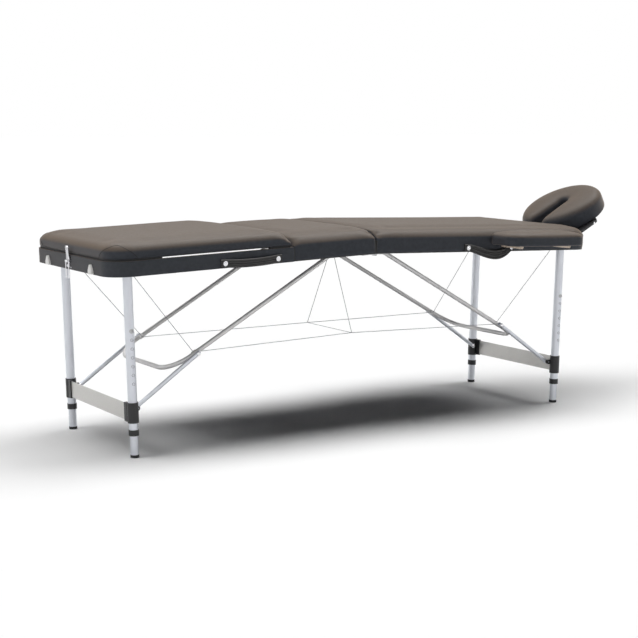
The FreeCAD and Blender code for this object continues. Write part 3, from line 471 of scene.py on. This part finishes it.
def edge_fall(depth):
    """A tight round at the edge of a cushion and a long shallow crown inside it."""
    inner = max(0.0, 1 - depth / CROWN_REACH)
    return rim(depth, ROUND_REACH, ROUND_DROP) + CROWN_DROP * inner * inner


def side_share(y):
    """1 at the sides of the bed, 0 from a hand's width in."""
    return max(0.0, 1 - (HALF_WIDTH - abs(y)) / HAND) ** 2


def depth_in(u, y, u1, half_width, radius):
    """Distance in from the sides and the round end of a plan outline."""
    over_u = u - (u1 - radius)
    over_y = abs(y) - (half_width - radius)
    if over_u > 0 and over_y > 0:
        return radius - math.hypot(over_u, over_y)
    return min(u1 - u, half_width - abs(y))


def crown(obj, low, top, fall):
    """Lets the top of a block fall by fall(u, y), and what is under it in proportion."""
    for vert in obj.data.vertices:
        if vert.co.z > low:
            drop = min(MOST_DROP, fall(vert.co.x, vert.co.y) / (top - low))
            vert.co.z = low + (vert.co.z - low) * (1 - drop)


def waist(obj, u0, u1, low, amount):
    """Draws the sides in between the corners, above a height."""
    for vert in obj.data.vertices:
        share = (vert.co.x - u0) / (u1 - u0)
        if 0 < share < 1 and vert.co.z > low:
            rise = min(1, (vert.co.z - low) / PULL_RISE)
            vert.co.y *= 1 - amount * rise * math.sin(math.pi * share) ** 0.5


def seat(obj, half):
    """Moves a flat-frame mesh to its place on the table."""
    for vert in obj.data.vertices:
        vert.co = place(half, vert.co)
    if half == "left":
        obj.data.flip_normals()
    obj.data.polygons.foreach_set("use_smooth", [True] * len(obj.data.polygons))
    return obj


def soften(obj, voxel, smooth, held_below, top, fall):
    """From a plain block to a cushion whose skin is held below a height."""
    voxel_remesh(obj, voxel)
    crown(obj, held_below, top, fall)
    relax(obj, smooth)
    inflate(obj, held_below, SWELL_CAP)
    relax(obj, 1)


def subdivide(obj):
    modifier = obj.modifiers.new("Subdivision", "SUBSURF")
    modifier.levels = 1
    modifier.render_levels = 1


def dress(obj, half, body, *nodes):
    seat(obj, half)
    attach(obj, body)
    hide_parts(*nodes)
    return obj


def cover_outlines(u0):
    outer = plan_outline(u0, HALF_LENGTH + PROUD, HALF_WIDTH + PROUD, CORNER_R + PROUD)
    inner = plan_outline(u0, HALF_LENGTH - BAND, HALF_WIDTH - BAND, CORNER_R - BAND)
    return outer, inner


def bed_fall(u, y):
    return edge_fall(depth_in(u, y, HALF_LENGTH, HALF_WIDTH, CORNER_R))


def across_bed(size, y):
    return size[0] + size[1] * side_share(y)


def fold_fall(u, y):
    return rim(u - FOLD_U, across_bed(FOLD_REACH, y), across_bed(FOLD_DROP, y))


def seam_fall(u, y):
    return rim(SEAM_EDGE - u, across_bed(SEAM_REACH, y), across_bed(SEAM_DROP, y))


def right_cushion():
    shape = bmesh.new()
    pad = plan_outline(FOLD_U, HALF_LENGTH + PAD_GROW, HALF_WIDTH + PAD_GROW, CORNER_R)
    add_slab(shape, pad, BOARD_LOW, TOP_W - SWELL)
    add_band(shape, *cover_outlines(FOLD_U), SKIRT_LOW, SKIRT_TOP)
    obj = from_bmesh("right_cushion", shape, VINYL)
    soften(
        obj, VOXEL, BED_RELAX, SKIRT_TOP, TOP_W - SWELL,
        lambda u, y: bed_fall(u, y) + fold_fall(u, y),
    )
    waist(obj, FOLD_U, HALF_LENGTH - CORNER_R, PULL_FLOOR, BED_WAIST)
    pull_in(obj, **FOLD_CORNER)
    subdivide(obj)
    dress(obj, "right", "right_frame", "right_pad", "right_board")


def middle_cushion():
    shape = bmesh.new()

    def lean(u, w):
        if u < SEAM_U / 2:
            return 0.0
        return SEAM_TUCK if w < BACK_LOW else (BACK_LOW - w) * MID_LEAN

    width = HALF_WIDTH + PAD_GROW
    pad = [(FOLD_U, -width), (SEAM_U, -width), (SEAM_U, width), (FOLD_U, width)]
    add_slab(shape, pad, BOARD_LOW, TOP_W - SWELL, lean)
    for side in BOTH:
        y0 = side * (HALF_WIDTH + PROUD)
        y1 = side * (HALF_WIDTH - BAND)
        add_slab(shape, [(FOLD_U, y0), (SEAM_U, y0), (SEAM_U, y1), (FOLD_U, y1)], SKIRT_LOW, SKIRT_TOP)
    obj = from_bmesh("middle_cushion", shape, VINYL)
    soften(
        obj, VOXEL, BED_RELAX, SKIRT_TOP, TOP_W - SWELL,
        lambda u, y: edge_fall(HALF_WIDTH - abs(y)) + fold_fall(u, y) + seam_fall(u, y),
    )
    waist(obj, FOLD_U, SEAM_U, PULL_FLOOR, BED_WAIST)
    pull_in(obj, **FOLD_CORNER)
    pull_in(obj, **SEAM_CORNER)
    subdivide(obj)
    dress(obj, "left", "left_frame", "mid_pad", "mid_board")


def cut_half(obj, name, point, normal):
    """A closed copy of the part of a mesh that lies behind a plane."""
    shape = bmesh.new()
    shape.from_mesh(obj.data)
    everything = shape.verts[:] + shape.edges[:] + shape.faces[:]
    bmesh.ops.bisect_plane(shape, geom=everything, plane_co=point, plane_no=normal, clear_outer=True)
    cut = [edge for edge in shape.edges if edge.is_boundary]
    bmesh.ops.edgeloop_fill(shape, edges=cut)
    for edge in cut:
        edge.smooth = False
    return from_bmesh(name, shape, VINYL)


def back_cushion():
    """Backrest cushion; the nose over its hinge is cut off as a piece of its own."""
    shape = bmesh.new()
    pad = plan_outline(NOSE_U, HALF_LENGTH - BACK_IN, HALF_WIDTH - BACK_IN, CORNER_R)
    add_slab(shape, pad, BACK_UNDER, BACK_TOP - SWELL)
    whole = from_bmesh("whole_back", shape, VINYL)
    soften(
        whole, VOXEL, BED_RELAX, BACK_HELD, BACK_TOP - SWELL,
        lambda u, y: bed_fall(u, y) + rim(u - NOSE_U, NOSE_REACH, NOSE_DROP),
    )
    waist(whole, NOSE_U, HALF_LENGTH - CORNER_R, PULL_FLOOR, BACK_WAIST)
    pull_in(whole, **NOSE_CORNER)
    subdivide(whole)
    depsgraph = bpy.context.evaluated_depsgraph_get()
    whole.data = bpy.data.meshes.new_from_object(whole.evaluated_get(depsgraph))
    hinge = Vector((BACK_AXIS_U, 0, BACK_AXIS_W))
    towards_nose = Vector((-1, 0, BACK_LEAN)).normalized()
    body = cut_half(whole, "back_cushion", hinge, towards_nose)
    nose = cut_half(whole, "back_nose", hinge, -towards_nose)
    bpy.data.objects.remove(whole)
    dress(body, "left", "backrest", "backrest_pad", "backrest_board")
    dress(nose, "left", "backrest", "backrest_pad")
    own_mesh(nose)
    return body


# Armrest cushions

ARM_MIDDLE = 0.628
ARM_HALF = 0.163
ARM_DEPTH = 0.123
ARM_LOW = 0.0245
ARM_TOP = 0.0715
ARM_CORNER = 0.045
ARM_SPACE = 0.004
ARM_HELD = ARM_LOW + 0.006
ARM_RELAX = 4
ARM_ROUND = 0.021
ARM_DROP = 0.011
ARM_CROWN = 0.003
ARM_CROWN_REACH = 0.06
ARM_BACK = 0.012         # its edge by the rail is rounded less


def arm_cushion(side, name):
    outline = []
    for out, along in plan_outline(0.0, ARM_DEPTH, ARM_HALF, ARM_CORNER):
        outline.append((ARM_MIDDLE + along, side * (HALF_WIDTH + ARM_SPACE + out)))
    shape = bmesh.new()
    add_slab(shape, outline, ARM_LOW, ARM_TOP - SWELL)
    obj = from_bmesh("arm_cushion_" + name, shape, VINYL)

    def fall(u, y):
        out = abs(y) - HALF_WIDTH - ARM_SPACE
        depth = min(depth_in(out, u - ARM_MIDDLE, ARM_DEPTH, ARM_HALF, ARM_CORNER), out + ARM_BACK)
        return rim(depth, ARM_ROUND, ARM_DROP) + ARM_CROWN * max(0.0, 1 - depth / ARM_CROWN_REACH) ** 2

    soften(obj, FINE_VOXEL, ARM_RELAX, ARM_HELD, ARM_TOP - SWELL, fall)
    subdivide(obj)
    dress(obj, "right", "armrest_" + name, "armrest_" + name + "_pad")


# Face cushion, drawn in the cradle's own plane: d along it and n up from it

TILT_U = 0.952
TILT_W = 0.016
TILT = math.radians(29.0)
FACE_START = -0.013
FACE_LENGTH = 0.306
FACE_HALF = 0.155
FACE_LOW = 0.012
FACE_TOP = 0.086
SLOT_TIP = 0.172
SLOT_HALF = 0.019        # half width of the slot at its round end
SLOT_MOUTH = 0.030
FACE_HELD = FACE_LOW + 0.004
FACE_RELAX = 5
FACE_ROUND = 0.040
FACE_DROP = 0.025
SLOT_ROUND = 0.028
SLOT_DROP = 0.015
RIM_STEPS = 72
SLOT_STEPS = 12
TIP_STEPS = 16


def cradle_point(d, y, n):
    """From the cradle's own plane to the half's flat frame."""
    u = TILT_U + d * math.cos(TILT) - n * math.sin(TILT)
    return Vector((u, y, TILT_W + d * math.sin(TILT) + n * math.cos(TILT)))


def slot_width(share):
    """Half width of the slot, from its mouth at 0 to its round end at 1."""
    return SLOT_HALF + (SLOT_MOUTH - SLOT_HALF) * (1 - share) ** 2


def face_outline():
    """Oval with a slot that runs in from the table's side and flares at its mouth."""
    middle = FACE_START + FACE_LENGTH / 2
    half = FACE_LENGTH / 2
    gap = math.asin(SLOT_MOUTH / FACE_HALF)
    points = []
    for index in range(RIM_STEPS + 1):
        turn = math.pi + gap + (2 * math.pi - 2 * gap) * index / RIM_STEPS
        points.append((middle + half * math.cos(turn), FACE_HALF * math.sin(turn)))
    bend = SLOT_TIP - SLOT_HALF
    mouth = points[-1][0]
    for index in range(1, SLOT_STEPS):
        share = index / SLOT_STEPS
        points.append((mouth + (bend - mouth) * share, slot_width(share)))
    for index in range(TIP_STEPS + 1):
        turn = math.pi / 2 - math.pi * index / TIP_STEPS
        points.append((bend + SLOT_HALF * math.cos(turn), SLOT_HALF * math.sin(turn)))
    for index in range(1, SLOT_STEPS):
        share = 1 - index / SLOT_STEPS
        points.append((mouth + (bend - mouth) * share, -slot_width(share)))
    return points


def face_fall(d, y):
    """Round at the oval's rim and along the slot."""
    half = FACE_LENGTH / 2
    from_rim = (1 - math.hypot((d - FACE_START - half) / half, y / FACE_HALF)) * half
    bend = SLOT_TIP - SLOT_HALF
    from_slot = math.hypot(d - bend, y) - SLOT_HALF
    if d < bend:
        share = max(0.0, (d - FACE_START) / (bend - FACE_START))
        from_slot = abs(y) - slot_width(share)
    return rim(from_rim, FACE_ROUND, FACE_DROP) + rim(from_slot, SLOT_ROUND, SLOT_DROP)


def face_cushion():
    shape = bmesh.new()
    add_slab(shape, face_outline(), FACE_LOW, FACE_TOP - SWELL)
    obj = from_bmesh("face_cushion", shape, VINYL)
    soften(obj, FINE_VOXEL, FACE_RELAX, FACE_HELD, FACE_TOP - SWELL, face_fall)
    for vert in obj.data.vertices:
        vert.co = cradle_point(*vert.co)
    subdivide(obj)
    dress(obj, "right", "cradle", "face_pad")


right_cushion()
middle_cushion()
BACK = back_cushion()
for near_far, label in SIDES:
    arm_cushion(near_far, label)
face_cushion()


# Rail cover

COVER_START = SEAM_U + 0.001
COVER_RISE = 0.003
COVER_BEVEL = 0.004
COVER_CORNER = 1.0       # edges sharper than this, in radians, are bevelled


def left_rail_cover():
    """Vinyl band over the left rails, from the backrest seam round the end."""
    shape = bmesh.new()
    add_band(shape, *cover_outlines(COVER_START), SKIRT_LOW, RAIL_H + COVER_RISE)
    edges = [e for e in shape.edges if e.calc_face_angle(0) > COVER_CORNER]
    bmesh.ops.bevel(shape, geom=edges, offset=COVER_BEVEL, segments=4, profile=0.5, affect="EDGES")
    obj = seat(from_bmesh("left_rail_cover", shape, RAIL_VINYL), "left")
    sharpen(obj, 50)
    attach(obj, "left_frame")


left_rail_cover()


# Corner patches: a sewn line that arches over each outer corner of the backrest

THREAD_R = 0.0009
PATCH_FROM = -12          # degrees round the corner
PATCH_SWEEP = 112
PATCH_LOW = 0.054
PATCH_ARCH = 0.036
PATCH_STEPS = 40
RAY_FROM = 0.2


def corner_seam(side, name):
    centre_u = HALF_LENGTH - CORNER_R
    centre_y = side * (HALF_WIDTH - CORNER_R)
    points = []
    for index in range(PATCH_STEPS + 1):
        share = index / PATCH_STEPS
        turn = math.radians(PATCH_FROM + PATCH_SWEEP * share)
        out = Vector((math.cos(turn), side * math.sin(turn), 0))
        w = PATCH_LOW + PATCH_ARCH * math.sin(math.pi * share) ** 0.8
        away = place("left", (centre_u + out.x * RAY_FROM, centre_y + out.y * RAY_FROM, w))
        towards = place("left", (centre_u, centre_y, w)) - away
        hit, spot, _, _ = BACK.ray_cast(away, towards.normalized())
        if hit:
            points.append(spot)
    obj = tube("corner_seam_" + name, points, THREAD_R, THREAD, sides=6)
    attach(obj, "backrest")


for near_far, label in SIDES:
    corner_seam(near_far, label)


# Carry handles: ribbed straps with a cup screw at each end

HANDLE_U0 = 0.354
HANDLE_U1 = 0.566
HANDLE_SCREWS = (0.368, 0.552)
HANDLE_W = 0.014
HANDLE_HALF = 0.0125
HANDLE_T = 0.006
HANDLE_FACE = HALF_WIDTH + PROUD
HANDLE_STEPS = 48
SCREW_SINK = 0.0005
RIB_SECTION = (
    (0.0, -1.0), (0.75, -1.0), (1.0, -0.82), (0.95, -0.62), (0.62, -0.52), (0.62, -0.44), (0.97, -0.34),
    (0.97, -0.12), (0.62, -0.04), (0.62, 0.04), (0.97, 0.12), (0.97, 0.34), (0.62, 0.44), (0.62, 0.52),
    (0.95, 0.62), (1.0, 0.82), (0.75, 1.0), (0.0, 1.0),
)
CUP = (                  # this and the turned shapes below: height and radius
    (0.0, 0.0078), (0.0022, 0.0078), (0.0034, 0.0062), (0.0026, 0.0046),
    (0.0040, 0.0040), (0.0046, 0.0022), (0.0036, 0.0016), (0.0034, 0.0002),
)


def handle(half, sag, bow, widen, skew):
    """A strap that hangs lowest at the share skew of its length, where it is also widest."""
    rings = []
    rise = skew / (1 - skew)
    peak = skew ** rise * (1 - skew)
    for index in range(HANDLE_STEPS + 1):
        u = HANDLE_U0 + (HANDLE_U1 - HANDLE_U0) * index / HANDLE_STEPS
        share = min(1.0, max(0.0, (u - HANDLE_SCREWS[0]) / (HANDLE_SCREWS[1] - HANDLE_SCREWS[0])))
        bend = share ** rise * (1 - share) / peak
        ring = []
        for out, high in RIB_SECTION:
            y = -HANDLE_FACE - bow * bend - out * HANDLE_T
            ring.append(place(half, (u, y, HANDLE_W - sag * bend + high * (HANDLE_HALF + widen * bend))))
        rings.append(ring)
    obj = from_rings(half + "_strap", rings, STRAP)
    sharpen(obj, 60)
    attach(obj, half + "_frame")
    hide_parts(half + "_handle")
    for number, u in enumerate(HANDLE_SCREWS):
        spot = place(half, (u, -HANDLE_FACE - HANDLE_T + SCREW_SINK, HANDLE_W))
        screw = lathe(half + "_cup_screw_" + str(number), spot, (0, -1, 0), CUP, CHROME)
        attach(screw, half + "_frame")


handle("left", sag=0.004, bow=0.004, widen=0.0, skew=0.5)
handle("right", sag=0.024, bow=0.006, widen=0.003, skew=0.62)


# Small hardware

BOLT_HEAD = ((0.0, 0.0062), (0.0012, 0.0064), (0.0030, 0.0056), (0.0042, 0.0034), (0.0045, 0.0004))
BOLT_SINK = 0.0006
BUTTON_RING = (
    (0.0, 0.0068), (0.0022, 0.0068), (0.0030, 0.0060), (0.0030, 0.0046), (0.0014, 0.0041), (0.0, 0.0040),
)
BUTTON_SINK = 0.0016
HOLE_STEP = 0.0265
HOLE_COUNT = 6
HOLE_SINK = 0.0012
# Black bushes that paint the shade inside the leg holes
HOLE_SHADE_BUSH = ((0.0, 0.0047), (0.0011, 0.0047), (0.0013, 0.0044), (0.0013, 0.0041), (-0.0003, 0.0041))
CLIP_Y = 0.166
CLIP_OUTLINE = (
    (-0.014, 0.0), (0.014, 0.0), (0.014, 0.011), (0.0032, 0.029), (-0.0032, 0.029), (-0.014, 0.011),
)
CLIP_T = 0.009
CLIP_SINK = 0.0005
CLIP_BEVEL = 0.0018


def strut_bolts(half):
    for side, name in SIDES:
        for end, u, w in (("upper", JOINT_U, JOINT_W), ("lower", BOLT_U, BOLT_W)):
            out = side if end == "upper" else -side
            spot = place(half, (u, side * STRUT_Y + out * (STRUT_R - BOLT_SINK), w))
            bolt = lathe("_".join((half, end, "bolt", name)), spot, (0, out, 0), BOLT_HEAD, CHROME)
            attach(bolt, half + "_struts")


def button_rings(half):
    for side, name in SIDES:
        spot = place(half, (LEG_U, side * (LEG_Y + LEG_R - BUTTON_SINK), BUTTON_W))
        ring = lathe(half + "_button_ring_" + name, spot, (0, side, 0), BUTTON_RING, STEEL, loop=True)
        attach(ring, half + "_legs")


def hole_bushes(half):
    """Black bushes round the leg holes under the button; they paint the shade inside the holes."""
    for side, name in SIDES:
        for step in range(1, HOLE_COUNT + 1):
            spot = place(half, (LEG_U, side * (LEG_Y + LEG_R - HOLE_SINK), BUTTON_W - step * HOLE_STEP))
            title = "_".join((half, "hole_bush", name, str(step)))
            shade_bush = lathe(title, spot, (0, side, 0), HOLE_SHADE_BUSH, BLACK, steps=16, loop=True)
            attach(shade_bush, half + "_legs")


def end_clips():
    for side, name in SIDES:
        shape = bmesh.new()
        faces = []
        for u in (HALF_LENGTH + PROUD - CLIP_SINK, HALF_LENGTH + CLIP_T):
            faces.append([shape.verts.new((u, side * CLIP_Y + y, w)) for y, w in CLIP_OUTLINE])
        count = len(CLIP_OUTLINE)
        for k in range(count):
            after = (k + 1) % count
            shape.faces.new((faces[0][k], faces[0][after], faces[1][after], faces[1][k]))
        shape.faces.new(faces[0])
        shape.faces.new(faces[1])
        front = set(faces[1])
        edges = [e for e in shape.edges if e.verts[0] in front or e.verts[1] in front]
        bmesh.ops.bevel(shape, geom=edges, offset=CLIP_BEVEL, segments=3, profile=0.5, affect="EDGES")
        obj = seat(from_bmesh("end_clip_" + name, shape, WHITE), "left")
        sharpen(obj, 40)
        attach(obj, "left_frame")
        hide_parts("left_cable_clips")


# Latch lever

LATCH_U = 0.925
LATCH_W = 0.014
BAIL_U = LATCH_U + 0.0045
BAIL_W = LATCH_W + 0.012
LEVER_T = 0.0036
LEVER = (                # height over the pin, half width, lean outward
    (-0.0016, 0.0090, 0.0), (-0.0006, 0.0115, 0.0), (0.004, 0.0130, 0.0), (0.020, 0.0125, 0.0),
    (0.028, 0.0105, 0.0006), (0.042, 0.0100, 0.0012), (0.049, 0.0100, 0.0020), (0.054, 0.0088, 0.0032),
    (0.0570, 0.0065, 0.0044), (0.0582, 0.0030, 0.0050),
)
LEVER_SECTION = (
    (-1, 0.25), (-1, 1.0), (-0.82, 1.0), (-0.72, 0.7), (0.72, 0.7),
    (0.82, 1.0), (1, 1.0), (1, 0.25), (0.85, 0), (-0.85, 0),
)
LEVER_PIN = (0.016, 0.002)    # half length and radius
BAIL_BLOCK = (0.009, 0.0035)


def rod_profile(half, radius):
    return ((-half, radius * 0.1), (-half, radius), (half, radius), (half, radius * 0.1))


def lever():
    """Pressed lever of the latch, with its pin and the block that holds the wire bail."""
    rings = []
    for high, half, out in LEVER:
        ring = []
        for across, thick in LEVER_SECTION:
            u = LATCH_U + out + (thick - 0.5) * LEVER_T
            ring.append(place("left", (u, across * half, LATCH_W + high)))
        rings.append(ring)
    plate = from_rings("lever_plate", rings, LATCH_CHROME)
    sharpen(plate, 35)
    pin_spot = place("left", (LATCH_U, 0, LATCH_W))
    pin = lathe("lever_pin", pin_spot, (0, 1, 0), rod_profile(*LEVER_PIN), CHROME)
    block_spot = place("left", (BAIL_U, 0, BAIL_W))
    block = lathe("lever_block", block_spot, (0, 1, 0), rod_profile(*BAIL_BLOCK), CHROME)
    for obj in (plate, pin, block):
        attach(obj, "latch_lever")
        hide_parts("latch_lever")


# Rivets of the cradle's plate

RIVET_D = 0.128
RIVET_N = 0.008
PLATE_HALF = 0.168
RIVET = ((-0.0005, 0.0037), (0.0008, 0.0037), (0.0016, 0.0028), (0.0018, 0.0004))


def cradle_rivets():
    """Bright rivets in the two side edges of the cradle's plate."""
    for side, name in SIDES:
        centre = place("right", cradle_point(RIVET_D, side * PLATE_HALF, RIVET_N))
        obj = lathe("cradle_rivet_" + name, centre, (0, side, 0), RIVET, CHROME, steps=16)
        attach(obj, "cradle")


for table_half in ("left", "right"):
    strut_bolts(table_half)
    button_rings(table_half)
    hole_bushes(table_half)
end_clips()
lever()
cradle_rivets()


# Tension cables, drawn straight between the bodies they join; a left tie crosses three, so it is in two pieces

CABLE_R = 0.001
WIRE_STEP = 0.02
LUG_Y = 0.1817
STAY_U = LEG_U - 0.012   # upper ends of the stays
STAY_Y = 0.2177
STAY_W = 0.012
SLING = (0.026, 0.140, -0.277)
SLING_TOP = 0.004


def wire(name, a, b):
    count = max(2, int((b - a).length / WIRE_STEP))
    obj = tube(name, [a.lerp(b, i / count) for i in range(count + 1)], CABLE_R, WIRE)
    return obj


def sling_corner(side):
    u, y, w = SLING
    return place("right", (u, side * y, w))


def cables(side, name):
    corner = sling_corner(side)
    lugs = {half: place(half, (JOINT_U, side * LUG_Y, JOINT_W)) for half in ("left", "right")}
    for half, end in lugs.items():
        top = place(half, (STAY_U, side * STAY_Y, STAY_W))
        stay = wire("stay_cable_" + half + "_" + name, top, end)
        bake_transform(stay)
        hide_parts(half + "_cables")
    tie = wire("tie_cable_right_" + name, lugs["right"], corner)
    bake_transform(tie)
    middle = lugs["left"].lerp(corner, 0.5)
    outer = wire("tie_cable_left_" + name, lugs["left"], middle)
    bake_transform(outer)
    inner = wire("tie_cable_middle_" + name, middle, corner)
    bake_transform(inner)
    riser = wire("sling_side_" + name, place("right", (SLING[0], 0, SLING_TOP)), corner)
    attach(riser, "right_frame")


for near_far, label in SIDES:
    cables(near_far, label)
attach(wire("sling_base", sling_corner(-1), sling_corner(1)), "right_frame")


# Stage, light and camera

def camera_or_mirror(nodes, links):
    """1 for what the camera sees, straight or in a shiny surface."""
    path = nodes.new("ShaderNodeLightPath")
    seen = path.outputs["Is Camera Ray"]
    for ray in ("Is Glossy Ray", "Is Transmission Ray"):
        either = nodes.new("ShaderNodeMath")
        either.operation = "MAXIMUM"
        links.new(seen, either.inputs[0])
        links.new(path.outputs[ray], either.inputs[1])
        seen = either.outputs["Value"]
    return seen


FLOOR_HALF = 60
FLOOR_SEEN = 1.0
FLOOR_BOUNCE = 0.85
WORLD_FILL = 0.03
SUNS = ((-1, 0.95), (0, 1.15), (1, 1.30))    # place in the row and strength
SUN_ANGLE = math.radians(34)
SUN_SPREAD = math.radians(31)
SUN_LEAN = (math.radians(-4), math.radians(-1.5))
SUN_HEIGHT = 4


def floor():
    mat = bpy.data.materials.new("floor")
    mat.use_nodes = True
    nodes = mat.node_tree.nodes
    links = mat.node_tree.links
    nodes.remove(nodes["Principled BSDF"])
    mix = nodes.new("ShaderNodeMixShader")
    links.new(camera_or_mirror(nodes, links), mix.inputs["Fac"])
    for socket, level in ((1, FLOOR_BOUNCE), (2, FLOOR_SEEN)):
        diffuse = nodes.new("ShaderNodeBsdfDiffuse")
        diffuse.inputs["Color"].default_value = (level, level, level, 1)
        links.new(diffuse.outputs["BSDF"], mix.inputs[socket])
    links.new(mix.outputs["Shader"], nodes["Material Output"].inputs["Surface"])
    mesh = bpy.data.meshes.new("floor")
    corners = [(x * FLOOR_HALF, y * FLOOR_HALF, 0) for x, y in ((-1, -1), (1, -1), (1, 1), (-1, 1))]
    mesh.from_pydata(corners, [], [(0, 1, 2, 3)])
    link_mesh("floor", mesh, mat)


def world_light():
    world = bpy.data.worlds.new("studio")
    bpy.context.scene.world = world
    world.use_nodes = True
    nodes = world.node_tree.nodes
    links = world.node_tree.links
    background = nodes["Background"]
    background.inputs["Color"].default_value = (1, 1, 1, 1)
    strength = nodes.new("ShaderNodeMapRange")
    strength.inputs["To Min"].default_value = WORLD_FILL
    strength.inputs["To Max"].default_value = 1.0
    links.new(camera_or_mirror(nodes, links), strength.inputs["Value"])
    links.new(strength.outputs["Result"], background.inputs["Strength"])


def overhead():
    """A row of soft lamps over the length of the table."""
    for number, strength in SUNS:
        data = bpy.data.lights.new("overhead", "SUN")
        data.energy = strength
        data.angle = SUN_ANGLE
        lamp = bpy.data.objects.new("overhead", data)
        lamp.location = (FOLD_X + number, 0, SUN_HEIGHT)
        lamp.rotation_euler = (SUN_LEAN[0], SUN_LEAN[1] + number * SUN_SPREAD, 0)
        bpy.context.scene.collection.objects.link(lamp)


CARD_PLACE = Vector((0.9, 1.5, 3.4))
CARD_SIZE = (4.5, 1.8)
CARD_POWER = 120


def card():
    """A bright card behind the table that shows only in glossy reflections."""
    data = bpy.data.lights.new("card", "AREA")
    data.shape = "RECTANGLE"
    data.size, data.size_y = CARD_SIZE
    data.energy = CARD_POWER
    lamp = bpy.data.objects.new("card", data)
    lamp.location = CARD_PLACE
    lamp.rotation_euler = (Vector((FOLD_X, 0, RAIL_Z)) - CARD_PLACE).to_track_quat("-Z", "Y").to_euler()
    lamp.visible_camera = False
    lamp.visible_diffuse = False
    bpy.context.scene.collection.objects.link(lamp)


CAMERA_PLACE = Vector((-2.630, -4.130, 1.016))     # from the fold
CAMERA_YAW = math.radians(32.263)
CAMERA_PITCH = math.radians(7.958)
CAMERA_ROLL = 0.0037
CAMERA_LENS = 82.0
SENSOR_WIDTH = 36


def camera():
    data = bpy.data.cameras.new("camera")
    data.lens = CAMERA_LENS
    data.sensor_width = SENSOR_WIDTH
    ahead = Vector((
        math.sin(CAMERA_YAW) * math.cos(CAMERA_PITCH),
        math.cos(CAMERA_YAW) * math.cos(CAMERA_PITCH),
        -math.sin(CAMERA_PITCH),
    ))
    level = Vector((math.cos(CAMERA_YAW), -math.sin(CAMERA_YAW), 0))
    right = level * math.cos(CAMERA_ROLL) + level.cross(ahead) * math.sin(CAMERA_ROLL)
    turn = Matrix((right, right.cross(ahead), -ahead)).transposed()
    cam = bpy.data.objects.new("camera", data)
    cam.matrix_world = Matrix.Translation(CAMERA_PLACE + Vector((FOLD_X, 0, 0))) @ turn.to_4x4()
    bpy.context.scene.collection.objects.link(cam)
    bpy.context.scene.camera = cam


floor()
world_light()
overhead()
card()
camera()
bpy.context.scene.view_settings.view_transform = "Standard"
